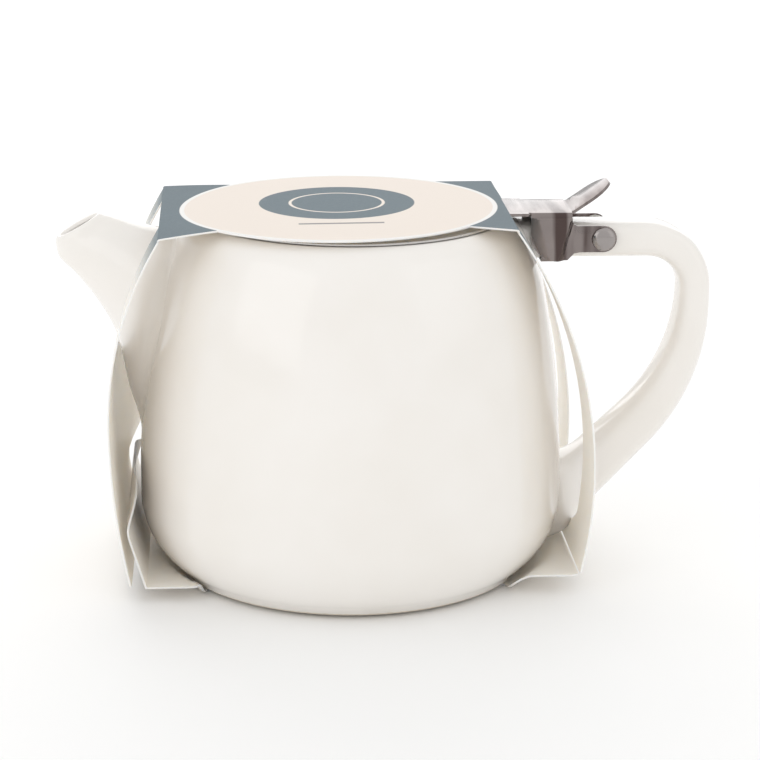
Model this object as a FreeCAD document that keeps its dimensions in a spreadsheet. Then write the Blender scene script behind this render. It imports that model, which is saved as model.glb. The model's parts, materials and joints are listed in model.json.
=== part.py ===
import FreeCAD, Part
import math
import os
import re

import Sketcher

# Teapot infuser: a one-pot ceramic teapot with a hinged steel lid, a lift-out steel
# basket and a folded card sleeve.  Millimetres, +Z up, +X towards the handle, and the
# origin on the table at the centre of the pot's foot.

doc = FreeCAD.newDocument("TeapotInfuser")
sheet = doc.addObject("Spreadsheet::Sheet", "Dims")

DIMENSIONS = [
    # pot: insets are taken inwards from the belly's radius, drops down from the rim
    ("belly_radius", 59.8), ("belly_height", 20.5), ("rim_height", 100.6), ("pot_wall", 4.0),
    ("foot_inset", 10.0), ("toe_inset", 8.3), ("toe_height", 3.0), ("toe_round", 22.6),
    ("flank_inset", 5.8), ("flank_drop", 20.1), ("flank_round", 308.0),
    ("shoulder_inset", 11.6), ("shoulder_drop", 4.2), ("shoulder_round", 55.9),
    ("crown_inset", 15.8), ("crown_drop", 0.4), ("crown_round", 9.1),
    ("rim_land", 3.5), ("seat_depth", 4.1), ("seat_width", 3.0), ("neck_drop", 7.0),
    ("gutter_drop", 11.0), ("gutter_inset", 13.2),
    # spout stations, from the root to the tip: reach out from the belly, drop, half height, half width
    ("root_reach", -14.0), ("root_drop", 23.6), ("root_half", 20.5), ("root_side", 17.5),
    ("hip_reach", -1.8), ("hip_drop", 25.0), ("hip_half", 22.8), ("hip_side", 16.0),
    ("waist_reach", 6.8), ("waist_drop", 16.2), ("waist_half", 16.3), ("waist_side", 12.0),
    ("throat_reach", 13.1), ("throat_drop", 11.0), ("throat_half", 9.6), ("throat_side", 8.6),
    ("tip_reach", 16.3), ("tip_drop", 10.2), ("tip_radius", 6.5),
    ("mouth_reach", 14.6), ("mouth_drop", 3.1), ("mouth_tilt", 28.0), ("mouth_long", 5.6),
    ("mouth_across", 3.9), ("mouth_depth", 8.0),
    # passage inside the spout: how far it keeps in from each station, and how much lower it runs
    ("way_overrun", 4.0), ("way_root_drop", 22.6), ("way_root_inset", 9.0), ("way_root_side_inset", 7.5),
    ("way_hip_drop", 22.5), ("way_hip_inset", 10.5), ("way_hip_side_inset", 5.4), ("way_waist_drop", 14.7),
    ("way_waist_inset", 7.2), ("way_waist_side_inset", 3.0), ("way_throat_drop", 9.5), ("way_throat_bore", 3.9),
    # handle
    ("handle_width", 14.4), ("handle_reach", 41.2), ("handle_gauge", 8.8), ("handle_top_gauge", 10.0),
    ("handle_top_drop", 2.2), ("handle_lap", 16.0), ("handle_edge", 3.6),
    ("outer_corner", 19.0), ("outer_straight", 5.4), ("outer_bow", 59.0), ("outer_turn", 43.4), ("outer_run", 19.7),
    ("heel_bow", 40.0), ("heel_turn", 28.0), ("inner_corner", 9.6), ("inner_bow", 47.9), ("inner_turn", 46.5),
    # lid, hinge and pin
    ("sheet_gauge", 0.6), ("bracket_gauge", 0.8), ("lid_gap", 0.2), ("lid_overhang", 2.5),
    ("skirt_clearance", 0.8), ("skirt_depth", 2.1), ("skirt_gauge", 0.8),
    ("pivot_reach", 9.7), ("pivot_drop", 6.1), ("pin_radius", 1.5), ("pin_gap", 0.05), ("bush_wall", 0.75),
    ("washer_radius", 3.4), ("washer_gauge", 0.5), ("side_gap", 0.1), ("head_radius", 3.3), ("head_rise", 1.7),
    ("head_edge", 0.5), ("head_bow", 5.3), ("head_flat", 1.0), ("tail_radius", 2.6), ("tail_rise", 1.0),
    ("arm_width", 21.0), ("arm_lap", 10.0), ("ear_start_reach", 10.8), ("ear_end_reach", 0.6),
    ("ear_bottom_drop", 12.2), ("ear_round", 8.0), ("tongue_half", 3.7),
    ("joggle_reach", 2.0), ("joggle_width", 1.6), ("lever_width", 15.0), ("lever_base_reach", 0.8),
    ("lever_run", 11.1), ("lever_rise", 7.6), ("lever_round", 6.9),
    ("lever_tip_lean", 0.48), ("lever_heel_lean", 0.24),
    # saddle under the handle's upper end
    ("clip_gauge", 0.5), ("clip_fit", 0.1), ("clip_length", 5.4), ("clip_reach", 7.4), ("clip_height", 7.0),
    # basket
    ("basket_gauge", 0.5), ("basket_depth", 61.0), ("basket_gap", 1.5), ("flange_gap", 0.5),
    ("flange_seat_gap", 0.1),
    # card sleeve
    ("card_gauge", 0.5), ("card_width", 71.0), ("disc_radius", 44.0), ("disc_shift", 3.5),
    ("crease_gap", 0.3), ("left_crease_inset", 7.0), ("right_crease_inset", 17.0),
    ("card_gap", 0.2), ("arm_gap", 0.1),
    ("left_spread", 7.3), ("left_bulge_height", 50.0), ("left_upper_bow", 100.0), ("left_lower_bow", 211.0),
    ("left_hem_spread", 2.3), ("left_hem_height", 4.3), ("right_spread", 5.3), ("right_bulge_height", 33.3),
    ("right_bow", 118.4), ("right_hem_spread", 2.1), ("right_hem_height", 6.2),
    ("left_slot_width", 38.0), ("left_slot_height", 64.0), ("right_slot_width", 30.0),
    ("right_slot_height", 17.0), ("right_slot_bow", 21.8),
    ("base_inset", 9.6), ("base_left_curl", 3.2), ("base_left_spread", -1.7), ("base_right_curl", 5.4),
    ("base_right_spread", 1.5), ("knee_height", 20.5), ("knee_spread", 3.0), ("flap_height", 40.0),
    ("flap_spread", 1.0), ("flap_shoulder_height", 24.0), ("flap_neck_height", 30.0), ("flap_wing_height", 35.0),
    ("flap_tongue_half", 22.0), ("flap_tip_half", 13.0),
    # how far a cutter reaches past what it cuts
    ("cutter_margin", 1.0), ("step_overlap", 0.1), ("slot_overrun", 10.0),
]

for row, (alias, size) in enumerate(DIMENSIONS, start=1):
    sheet.set("A%d" % row, alias)
    sheet.set("B%d" % row, str(size))
    sheet.setAlias("B%d" % row, alias)
doc.recompute()
ALIASES = {alias for alias, size in DIMENSIONS}


def number(expression):
    """The present value of an expression over the sheet's aliases."""
    return float(sheet.evalExpression(str(expression)))


def bound(expression):
    """The same expression as the document's other objects have to write it."""
    return re.sub(r"[a-z_]+", lambda word: "Dims." + word.group() if word.group() in ALIASES else word.group(),
                  str(expression))


# places that several pieces share
ROUND = "belly_radius"
FOOT = "card_gauge"
CROWN = "(belly_radius - crown_inset)"
SEAT = "(belly_radius - crown_inset - rim_land)"
MOUTH = "(belly_radius - crown_inset - rim_land - seat_width)"
SEAT_Z = "(rim_height - seat_depth)"
LID_Z = "(rim_height + lid_gap)"
LID_TOP = "(rim_height + lid_gap + sheet_gauge)"
ARM_TOP = "(rim_height + lid_gap + sheet_gauge + bracket_gauge)"
CARD_LEFT_Z = "(rim_height + lid_gap + sheet_gauge + card_gap)"
CARD_RIGHT_Z = "(rim_height + lid_gap + sheet_gauge + bracket_gauge + card_gap + arm_gap)"
LEFT_CREASE = "(belly_radius - left_crease_inset)"
RIGHT_CREASE = "(belly_radius - right_crease_inset)"
PIVOT_X = "(belly_radius + pivot_reach)"
PIVOT_Z = "(rim_height - pivot_drop)"
HANDLE_HALF = "(handle_width / 2)"
HANDLE_TOP = "(rim_height - handle_top_drop)"
HANDLE_UNDER = "(rim_height - handle_top_drop - handle_top_gauge)"
HANDLE_OUT = "(belly_radius + handle_reach)"
HANDLE_IN = "(belly_radius + handle_reach - handle_gauge)"
TONGUE_HALF = "(handle_width / 2 + washer_gauge + side_gap * 2)"
BORE = "(pin_radius + pin_gap)"
BUSH = "(pin_radius + pin_gap + bush_wall)"
BASKET = "(belly_radius - crown_inset - rim_land - seat_width - basket_gap)"
FLANGE_Z = "(rim_height - seat_depth + flange_seat_gap)"
BASKET_FLOOR = "(rim_height - seat_depth + flange_seat_gap - basket_depth)"


def new_body(name):
    body = doc.addObject("PartDesign::Body", name)
    body.Label = name
    return body


def origin_plane(body, role):
    return [plane for plane in body.Origin.OriginFeatures if plane.Role == role][0]


def arc_between(start, end, radius):
    """The shorter arc; a positive radius bulges to the left of the way from start to end."""
    chord = end - start
    side = FreeCAD.Vector(-chord.y, chord.x, 0).normalize()
    if radius < 0:
        side = side * -1.0
    reach = math.sqrt(max(radius * radius - chord.Length ** 2 / 4.0, 0.0))
    middle = (start + end) * 0.5 + side * (abs(radius) - reach)
    return Part.Arc(start, middle, end)


def outline(body, name, role, corners, shift=None):
    """A closed sketch.  A corner is (across, up), or (across, up, radius) where an arc leads to the next."""
    sketch = body.newObject("Sketcher::SketchObject", name)
    sketch.AttachmentSupport = [(origin_plane(body, role), "")]
    sketch.MapMode = "FlatFace"
    if shift is not None:
        sketch.setExpression("AttachmentOffset.Base.z", bound(shift))
    places = [FreeCAD.Vector(number(corner[0]), number(corner[1]), 0) for corner in corners]
    edges = []
    for index, corner in enumerate(corners):
        start = places[index]
        end = places[(index + 1) % len(corners)]
        if len(corner) == 3:
            edge = sketch.addGeometry(arc_between(start, end, number(corner[2])))
        else:
            edge = sketch.addGeometry(Part.LineSegment(start, end))
        first = 1 if (sketch.getPoint(edge, 1) - start).Length < (sketch.getPoint(edge, 2) - start).Length else 2
        edges.append((edge, first, 3 - first))
    for index, corner in enumerate(corners):
        edge, first, last = edges[index]
        following = edges[(index + 1) % len(corners)]
        sketch.addConstraint(Sketcher.Constraint("Coincident", edge, last, following[0], following[1]))
        for kind, axis, place, value in (("DistanceX", -2, corner[0], places[index].x),
                                         ("DistanceY", -1, corner[1], places[index].y)):
            if str(place) == "0":
                sketch.addConstraint(Sketcher.Constraint("PointOnObject", edge, first, axis))
            else:
                held = sketch.addConstraint(Sketcher.Constraint(kind, -1, 1, edge, first, value))
                sketch.setExpression("Constraints[%d]" % held, bound(place))
        if len(corner) == 3:
            held = sketch.addConstraint(Sketcher.Constraint("Radius", edge, abs(number(corner[2]))))
            sketch.setExpression("Constraints[%d]" % held, bound("abs(%s)" % corner[2]))
    return sketch


def circle(body, name, role, across, up, radius, shift=None):
    sketch = body.newObject("Sketcher::SketchObject", name)
    sketch.AttachmentSupport = [(origin_plane(body, role), "")]
    sketch.MapMode = "FlatFace"
    if shift is not None:
        sketch.setExpression("AttachmentOffset.Base.z", bound(shift))
    centre = FreeCAD.Vector(number(across), number(up), 0)
    edge = sketch.addGeometry(Part.Circle(centre, FreeCAD.Vector(0, 0, 1), number(radius)))
    held = sketch.addConstraint(Sketcher.Constraint("Radius", edge, number(radius)))
    sketch.setExpression("Constraints[%d]" % held, bound(radius))
    for kind, axis, place, value in (("DistanceX", -2, across, centre.x), ("DistanceY", -1, up, centre.y)):
        if str(place) == "0":
            sketch.addConstraint(Sketcher.Constraint("PointOnObject", edge, 3, axis))
        else:
            held = sketch.addConstraint(Sketcher.Constraint(kind, -1, 1, edge, 3, value))
            sketch.setExpression("Constraints[%d]" % held, bound(place))
    return sketch


def turned(body, sketch):
    """A full turn of the sketch about its own upright axis."""
    feature = body.newObject("PartDesign::Revolution", sketch.Name + "_turn")
    feature.Profile = sketch
    feature.ReferenceAxis = (sketch, ["V_Axis"])
    feature.Angle = 360.0
    doc.recompute()
    return feature


def pad(body, sketch, length, both_ways=True):
    feature = body.newObject("PartDesign::Pad", sketch.Name + "_pad")
    feature.Profile = sketch
    feature.Midplane = both_ways
    feature.setExpression("Length", bound(length))
    doc.recompute()
    return feature


def cut_through(body, sketch, length=None):
    """A pocket both ways from its sketch, right through or of a given length, that has to remove something."""
    before = body.Shape.Volume
    feature = body.newObject("PartDesign::Pocket", sketch.Name + "_cut")
    feature.Profile = sketch
    feature.Midplane = True
    if length is None:
        feature.Type = 1
    else:
        feature.setExpression("Length", bound(length))
    doc.recompute()
    if not body.Shape.Volume < before - 0.01:
        raise RuntimeError(feature.Name + " removed nothing")
    return feature


def rounded(body, radius, wanted):
    """A fillet on the edges of the body's tip that the test picks."""
    names = ["Edge%d" % (index + 1) for index, edge in enumerate(body.Tip.Shape.Edges) if wanted(edge)]
    base = body.Tip
    feature = body.newObject("PartDesign::Fillet", base.Name + "_round")
    feature.Base = (base, names)
    feature.setExpression("Radius", bound(radius))
    doc.recompute()
    return feature


def combine(kind, name, base, tool):
    feature = doc.addObject("Part::" + kind, name)
    feature.Label = name
    feature.Base = base
    feature.Tool = tool
    doc.recompute()
    return feature


# pot, thrown as one wall with a sunk seat in its mouth
def pot_outside():
    return [("0", FOOT),
            ("%s - foot_inset" % ROUND, FOOT),
            ("%s - toe_inset" % ROUND, "toe_height", "-toe_round"),
            (ROUND, "belly_height", "-flank_round"),
            ("%s - flank_inset" % ROUND, "rim_height - flank_drop", "-shoulder_round"),
            ("%s - shoulder_inset" % ROUND, "rim_height - shoulder_drop", "-crown_round"),
            (CROWN, "rim_height - crown_drop"),
            ("%s - crown_drop * 2" % CROWN, "rim_height")]


def pot_inside():
    floor = "(card_gauge + pot_wall)"
    return [(SEAT, "rim_height"),
            (SEAT, SEAT_Z),
            (MOUTH, SEAT_Z),
            (MOUTH, "rim_height - neck_drop"),
            ("%s - gutter_inset" % ROUND, "rim_height - gutter_drop"),
            ("%s - flank_inset - pot_wall" % ROUND, "rim_height - flank_drop", "flank_round - pot_wall"),
            ("%s - pot_wall" % ROUND, "belly_height", "toe_round - pot_wall"),
            ("%s - toe_round + sqrt((toe_round - pot_wall)^2 - (belly_height - %s)^2)" % (ROUND, floor), floor),
            ("0", floor)]


blank = new_body("pot_blank")
turned(blank, outline(blank, "blank_outline", "XZ_Plane", pot_outside() + [("0", "rim_height")]))

thrown = new_body("pot_thrown")
turned(thrown, outline(thrown, "thrown_outline", "XZ_Plane", pot_outside() + pot_inside()))


# spout, lofted through upright oval stations and closed by a round nose
def station(name, reach, drop, half, side):
    """An upright oval across the spout, at its reach beyond the belly and its drop below the rim."""
    oval = doc.addObject("Part::Ellipse", name)
    oval.setExpression("MajorRadius", bound(half))
    oval.setExpression("MinorRadius", bound(side))
    oval.Placement = FreeCAD.Placement(FreeCAD.Vector(), FreeCAD.Rotation(FreeCAD.Vector(0, 1, 0), -90))
    oval.setExpression("Placement.Base.x", bound("-(belly_radius + %s)" % reach))
    oval.setExpression("Placement.Base.z", bound("rim_height - %s" % drop))
    return oval


def lofted(name, stations):
    loft = doc.addObject("Part::Loft", name)
    loft.Sections = stations
    loft.Solid = True
    loft.Ruled = False
    doc.recompute()
    return loft


spout_skin = lofted("spout_skin", [
    station("root_station", "root_reach", "root_drop", "root_half", "root_side"),
    station("hip_station", "hip_reach", "hip_drop", "hip_half", "hip_side"),
    station("waist_station", "waist_reach", "waist_drop", "waist_half", "waist_side"),
    station("throat_station", "throat_reach", "throat_drop", "throat_half", "throat_side"),
    station("tip_station", "tip_reach", "tip_drop", "tip_radius", "tip_radius")])

nose = doc.addObject("Part::Sphere", "spout_nose")
nose.setExpression("Radius", bound("tip_radius"))
nose.setExpression("Placement.Base.x", bound("-(belly_radius + tip_reach)"))
nose.setExpression("Placement.Base.z", bound("rim_height - tip_drop"))
spout_solid = combine("Fuse", "spout_solid", spout_skin, nose)

spout_way = lofted("spout_way", [
    station("way_root", "root_reach - way_overrun", "way_root_drop", "root_half - way_root_inset",
            "root_side - way_root_side_inset"),
    station("way_hip", "hip_reach", "way_hip_drop", "hip_half - way_hip_inset", "hip_side - way_hip_side_inset"),
    station("way_waist", "waist_reach", "way_waist_drop", "waist_half - way_waist_inset",
            "waist_side - way_waist_side_inset"),
    station("way_throat", "throat_reach", "way_throat_drop", "way_throat_bore", "way_throat_bore")])

mouth_oval = doc.addObject("Part::Ellipse", "mouth_oval")
mouth_oval.setExpression("MajorRadius", bound("mouth_long"))
mouth_oval.setExpression("MinorRadius", bound("mouth_across"))
mouth_oval.setExpression("Placement.Base.x", bound("-(belly_radius + mouth_reach)"))
mouth_oval.setExpression("Placement.Base.z", bound("rim_height - mouth_drop"))
mouth_oval.Placement.Rotation = FreeCAD.Rotation(FreeCAD.Vector(0, 1, 0), -number("mouth_tilt"))
mouth_well = doc.addObject("Part::Extrusion", "mouth_well")
mouth_well.Base = mouth_oval
mouth_well.DirMode = "Custom"
mouth_well.Dir = mouth_oval.Placement.Rotation.multVec(FreeCAD.Vector(0, 0, 1))
mouth_well.setExpression("LengthFwd", bound("mouth_depth"))
mouth_well.setExpression("LengthRev", bound("mouth_depth"))
mouth_well.Solid = True
doc.recompute()
waterway = combine("Fuse", "waterway", spout_way, mouth_well)

pot_body = combine("Cut", "pot_body", thrown, spout_way)
spout_joined = combine("Cut", "spout_joined", spout_solid, blank)
pot_spout = combine("Cut", "pot_spout", spout_joined, waterway)

# handle, a flat bow of lines and tangent arcs with rounded edges, and a cross hole for the hinge bush
bow = new_body("handle_bow")
bow_start = "(%s - handle_lap)" % ROUND
waist_z = "(%s - outer_corner - outer_straight)" % HANDLE_TOP
elbow_x = "(%s - outer_bow * (1 - cos(outer_turn * 1 deg)))" % HANDLE_OUT
elbow_z = "(%s - outer_bow * sin(outer_turn * 1 deg))" % waist_z
heel_x = "(%s - outer_run * sin(outer_turn * 1 deg))" % elbow_x
heel_z = "(%s - outer_run * cos(outer_turn * 1 deg))" % elbow_z
root_x = "(%s - heel_bow * (cos(outer_turn * 1 deg) - cos((outer_turn + heel_turn) * 1 deg)))" % heel_x
root_z = "(%s - heel_bow * (sin((outer_turn + heel_turn) * 1 deg) - sin(outer_turn * 1 deg)))" % heel_z
inner_x = "(%s - inner_bow * (1 - cos(inner_turn * 1 deg)))" % HANDLE_IN
inner_z = "(%s - inner_corner - inner_bow * sin(inner_turn * 1 deg))" % HANDLE_UNDER
pad(bow, outline(bow, "bow_outline", "XZ_Plane", [
    (bow_start, HANDLE_TOP),
    ("%s - outer_corner" % HANDLE_OUT, HANDLE_TOP, "outer_corner"),
    (HANDLE_OUT, "%s - outer_corner" % HANDLE_TOP),
    (HANDLE_OUT, waist_z, "outer_bow"),
    (elbow_x, elbow_z),
    (heel_x, heel_z, "heel_bow"),
    (root_x, root_z),
    (root_x, "%s - (%s - %s) / tan(inner_turn * 1 deg)" % (inner_z, inner_x, root_x)),
    (inner_x, inner_z, "-inner_bow"),
    (HANDLE_IN, "%s - inner_corner" % HANDLE_UNDER, "-inner_corner"),
    ("%s - inner_corner" % HANDLE_IN, HANDLE_UNDER),
    (bow_start, HANDLE_UNDER)]), "handle_width")


def along_the_bow(edge):
    """True for the long edges of the handle's two sides, but not for those at its ends, inside the pot."""
    ends = [vertex.Point for vertex in edge.Vertexes]
    on_one_side = abs(ends[0].y - ends[-1].y) < 0.001 and abs(abs(ends[0].y) - number(HANDLE_HALF)) < 0.001
    return on_one_side and max(end.x for end in ends) > number(root_x) + 0.1


rounded(bow, "handle_edge", along_the_bow)
cut_through(bow, circle(bow, "bush_seat", "XZ_Plane", PIVOT_X, PIVOT_Z, BUSH))
pot_handle = combine("Cut", "pot_handle", bow, blank)


# pieces turned about the hinge axis: modelled upright, then laid along Y through the pivot
def on_pivot(name, corners):
    body = new_body(name)
    turned(body, outline(body, name + "_outline", "XZ_Plane", corners))
    body.Placement = FreeCAD.Placement(FreeCAD.Vector(), FreeCAD.Rotation(FreeCAD.Vector(1, 0, 0), 90))
    body.setExpression("Placement.Base.x", bound(PIVOT_X))
    body.setExpression("Placement.Base.z", bound(PIVOT_Z))
    return body


def ring(inner, outer, low, high):
    return [(inner, low), (outer, low), (outer, high), (inner, high)]


pin_bush = on_pivot("pin_bush", ring(BORE, BUSH, "-" + HANDLE_HALF, HANDLE_HALF))
washers = []
for name, side in (("pivot_washer_front", ""), ("pivot_washer_back", "-")):
    near = "%s(handle_width / 2 + side_gap / 2)" % side
    far = "%s(handle_width / 2 + side_gap / 2 + washer_gauge)" % side
    washers.append(on_pivot(name, ring(BORE, "washer_radius", near, far)))

pin_seat = "(%s + bracket_gauge)" % TONGUE_HALF
pivot_pin = on_pivot("pivot_pin", [
    ("0", "-%s - tail_rise" % pin_seat),
    ("tail_radius", "-%s - tail_rise" % pin_seat),
    ("tail_radius", "-" + pin_seat),
    ("pin_radius", "-" + pin_seat),
    ("pin_radius", pin_seat),
    ("head_radius", pin_seat),
    ("head_radius", "%s + head_edge" % pin_seat, "-head_bow"),
    ("head_flat", "%s + head_rise" % pin_seat),
    ("0", "%s + head_rise" % pin_seat)])

# lid: a flat disc, a locating skirt below it and the hinge bracket welded on top
lid_plate = new_body("lid_plate")
pad(lid_plate, circle(lid_plate, "lid_disc", "XY_Plane", "0", "0", "%s + lid_overhang" % SEAT, LID_Z),
    "sheet_gauge", False)

skirt_outer = "(%s - skirt_clearance)" % SEAT
lid_skirt = new_body("lid_skirt")
turned(lid_skirt, outline(lid_skirt, "skirt_outline", "XZ_Plane",
                          ring("%s - skirt_gauge" % skirt_outer, skirt_outer, "%s - skirt_depth" % LID_Z, LID_Z)))

ear_start = "(%s - ear_start_reach)" % ROUND
ear_end = "(%s + ear_end_reach)" % ROUND
ear_low = "(rim_height - ear_bottom_drop)"
step_start = "(%s + joggle_reach - joggle_width)" % ROUND
step_end = "(%s + joggle_reach)" % ROUND
arm_start = "(%s + lid_overhang - arm_lap)" % SEAT
upper = new_body("bracket_upper")
pad(upper, outline(upper, "arm_outline", "XZ_Plane", [
    (arm_start, LID_TOP),
    (ear_start, LID_TOP),
    (ear_start, "%s + ear_round" % ear_low, "-ear_round"),
    ("%s + ear_round" % ear_start, ear_low),
    (step_end, ear_low),
    (step_end, "%s + tongue_half" % PIVOT_Z),
    (ear_end, "%s + tongue_half" % PIVOT_Z),
    (ear_end, ARM_TOP),
    (arm_start, ARM_TOP)]), "arm_width")
cut_through(upper, outline(upper, "arm_channel", "XZ_Plane", [
    ("%s - cutter_margin" % ear_start, "%s - cutter_margin" % ear_low),
    (step_start, "%s - cutter_margin" % ear_low),
    (step_start, LID_TOP),
    ("%s - cutter_margin" % ear_start, LID_TOP)]), "arm_width - bracket_gauge * 2")
cut_through(upper, outline(upper, "step_channel", "XZ_Plane", [
    ("%s - step_overlap" % step_start, "%s - cutter_margin" % ear_low),
    ("%s + cutter_margin" % step_end, "%s - cutter_margin" % ear_low),
    ("%s + cutter_margin" % step_end, LID_TOP),
    ("%s - step_overlap" % step_start, LID_TOP)]), "%s * 2" % TONGUE_HALF)

tongues = new_body("bracket_tongues")
pad(tongues, outline(tongues, "tongue_outline", "XZ_Plane", [
    (step_end, "%s - tongue_half" % PIVOT_Z),
    (PIVOT_X, "%s - tongue_half" % PIVOT_Z, "-tongue_half"),
    ("%s + tongue_half" % PIVOT_X, PIVOT_Z, "-tongue_half"),
    (PIVOT_X, "%s + tongue_half" % PIVOT_Z),
    (step_end, "%s + tongue_half" % PIVOT_Z)]), "(%s + bracket_gauge) * 2" % TONGUE_HALF)
cut_through(tongues, outline(tongues, "tongue_channel", "XZ_Plane", [
    ("%s - cutter_margin" % step_end, "%s - tongue_half - cutter_margin" % PIVOT_Z),
    ("%s + tongue_half + cutter_margin" % PIVOT_X, "%s - tongue_half - cutter_margin" % PIVOT_Z),
    ("%s + tongue_half + cutter_margin" % PIVOT_X, "%s + tongue_half + cutter_margin" % PIVOT_Z),
    ("%s - cutter_margin" % step_end, "%s + tongue_half + cutter_margin" % PIVOT_Z)]), "%s * 2" % TONGUE_HALF)
cut_through(tongues, circle(tongues, "pin_holes", "XZ_Plane", PIVOT_X, PIVOT_Z, BORE))

lever = new_body("bracket_lever")
lever_base = "(%s + lever_base_reach)" % ROUND
pad(lever, outline(lever, "lever_outline", "XZ_Plane", [
    (ear_end, LID_TOP),
    (lever_base, LID_TOP),
    ("%s + lever_run" % lever_base, "%s + lever_rise" % LID_TOP),
    ("%s + lever_run - lever_tip_lean" % lever_base, "%s + lever_rise + bracket_gauge" % LID_TOP),
    ("%s - lever_heel_lean" % lever_base, ARM_TOP),
    (ear_end, ARM_TOP)]), "lever_width")


def at_lever_tip(edge):
    tip = number("%s + lever_run - lever_tip_lean - cutter_margin / 10" % lever_base)
    return all(vertex.Point.x > tip for vertex in edge.Vertexes) and edge.Length < number("bracket_gauge * 2")


rounded(lever, "lever_round", at_lever_tip)
bracket_arm = combine("Fuse", "bracket_arm", upper, tongues)
hinge_bracket = combine("Fuse", "hinge_bracket", bracket_arm, lever)

# saddle, a bent strip that carries the underside of the handle between the ears
handle_clip = new_body("handle_clip")
clip_inner = "(%s + clip_fit)" % HANDLE_HALF
clip_outer = "(%s + clip_fit + clip_gauge)" % HANDLE_HALF
clip_low = "(%s - clip_fit - clip_gauge)" % HANDLE_UNDER
pad(handle_clip, outline(handle_clip, "clip_outline", "YZ_Plane", [
    ("-" + clip_outer, clip_low),
    (clip_outer, clip_low),
    (clip_outer, "%s + clip_height" % clip_low),
    (clip_inner, "%s + clip_height" % clip_low),
    (clip_inner, "%s + clip_gauge" % clip_low),
    ("-" + clip_inner, "%s + clip_gauge" % clip_low),
    ("-" + clip_inner, "%s + clip_height" % clip_low),
    ("-" + clip_outer, "%s + clip_height" % clip_low)], "%s - clip_reach" % ROUND), "clip_length", False)

# basket: a flange on the mouth's seat, a straight wall and a floor
infuser_rim = new_body("infuser_rim")
turned(infuser_rim, outline(infuser_rim, "flange_outline", "XZ_Plane",
                            ring("%s - basket_gauge" % BASKET, "%s - flange_gap" % SEAT,
                                 FLANGE_Z, "%s + sheet_gauge" % FLANGE_Z)))
infuser_wall = new_body("infuser_wall")
turned(infuser_wall, outline(infuser_wall, "wall_outline", "XZ_Plane",
                             ring("%s - basket_gauge" % BASKET, BASKET, BASKET_FLOOR, FLANGE_Z)))
infuser_floor = new_body("infuser_floor")
pad(infuser_floor, circle(infuser_floor, "floor_disc", "XY_Plane", "0", "0", BASKET,
                          "%s - basket_gauge" % BASKET_FLOOR), "basket_gauge", False)

# card sleeve: a top panel with a round face, two hanging sides and a base with a tuck flap
top_slope = new_body("sleeve_top_slope")
top_left = "-" + LEFT_CREASE
top_right = RIGHT_CREASE
pad(top_slope, outline(top_slope, "top_outline", "XZ_Plane", [
    (top_left, CARD_LEFT_Z),
    (top_right, CARD_RIGHT_Z),
    (top_right, "%s + card_gauge" % CARD_RIGHT_Z),
    (top_left, "%s + card_gauge" % CARD_LEFT_Z)]), "disc_radius * 2")
top_plan = new_body("sleeve_top_plan")
disc_meet = "sqrt(disc_radius^2 - (card_width / 2)^2)"
pad(top_plan, outline(top_plan, "top_plan_outline", "XY_Plane", [
    (top_left, "-card_width / 2"),
    ("-disc_shift - %s" % disc_meet, "-card_width / 2", "-disc_radius"),
    ("-disc_shift + %s" % disc_meet, "-card_width / 2"),
    (top_right, "-card_width / 2"),
    (top_right, "card_width / 2"),
    ("-disc_shift + %s" % disc_meet, "card_width / 2", "-disc_radius"),
    ("-disc_shift - %s" % disc_meet, "card_width / 2"),
    (top_left, "card_width / 2")], "rim_height"), "disc_radius", False)
sleeve_top = combine("Common", "sleeve_top", top_slope, top_plan)

sleeve_left = new_body("sleeve_left")
left_out = "-(%s + left_spread)" % ROUND
left_hem = "-(%s + left_hem_spread)" % ROUND
pad(sleeve_left, outline(sleeve_left, "left_outline", "XZ_Plane", [
    ("-" + LEFT_CREASE, "%s - crease_gap" % CARD_LEFT_Z, "-left_upper_bow"),
    (left_out, "left_bulge_height", "-left_lower_bow"),
    (left_hem, "left_hem_height"),
    ("%s + card_gauge" % left_hem, "left_hem_height", "left_lower_bow"),
    ("%s + card_gauge" % left_out, "left_bulge_height", "left_upper_bow"),
    ("-%s + card_gauge" % LEFT_CREASE, "%s - crease_gap" % CARD_LEFT_Z)]), "card_width")
cut_through(sleeve_left, outline(sleeve_left, "left_slot", "YZ_Plane", [
    ("-left_slot_width / 2", "rim_height + slot_overrun"),
    ("-left_slot_width / 2", "left_slot_height", "-left_slot_width / 2"),
    ("0", "left_slot_height - left_slot_width / 2", "-left_slot_width / 2"),
    ("left_slot_width / 2", "left_slot_height"),
    ("left_slot_width / 2", "rim_height + slot_overrun")]))

sleeve_right = new_body("sleeve_right")
right_out = "(%s + right_spread)" % ROUND
right_hem = "(%s + right_hem_spread)" % ROUND
pad(sleeve_right, outline(sleeve_right, "right_outline", "XZ_Plane", [
    (RIGHT_CREASE, "%s - crease_gap" % CARD_RIGHT_Z, "right_bow"),
    (right_out, "right_bulge_height", "right_bow"),
    (right_hem, "right_hem_height"),
    ("%s - card_gauge" % right_hem, "right_hem_height", "-right_bow"),
    ("%s - card_gauge" % right_out, "right_bulge_height", "-right_bow"),
    ("%s - card_gauge" % RIGHT_CREASE, "%s - crease_gap" % CARD_RIGHT_Z)]), "card_width")
cut_through(sleeve_right, outline(sleeve_right, "right_slot", "YZ_Plane", [
    ("-right_slot_width / 2", "rim_height + slot_overrun"),
    ("-right_slot_width / 2", "right_slot_height", "-right_slot_bow"),
    ("right_slot_width / 2", "right_slot_height"),
    ("right_slot_width / 2", "rim_height + slot_overrun")]))

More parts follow.
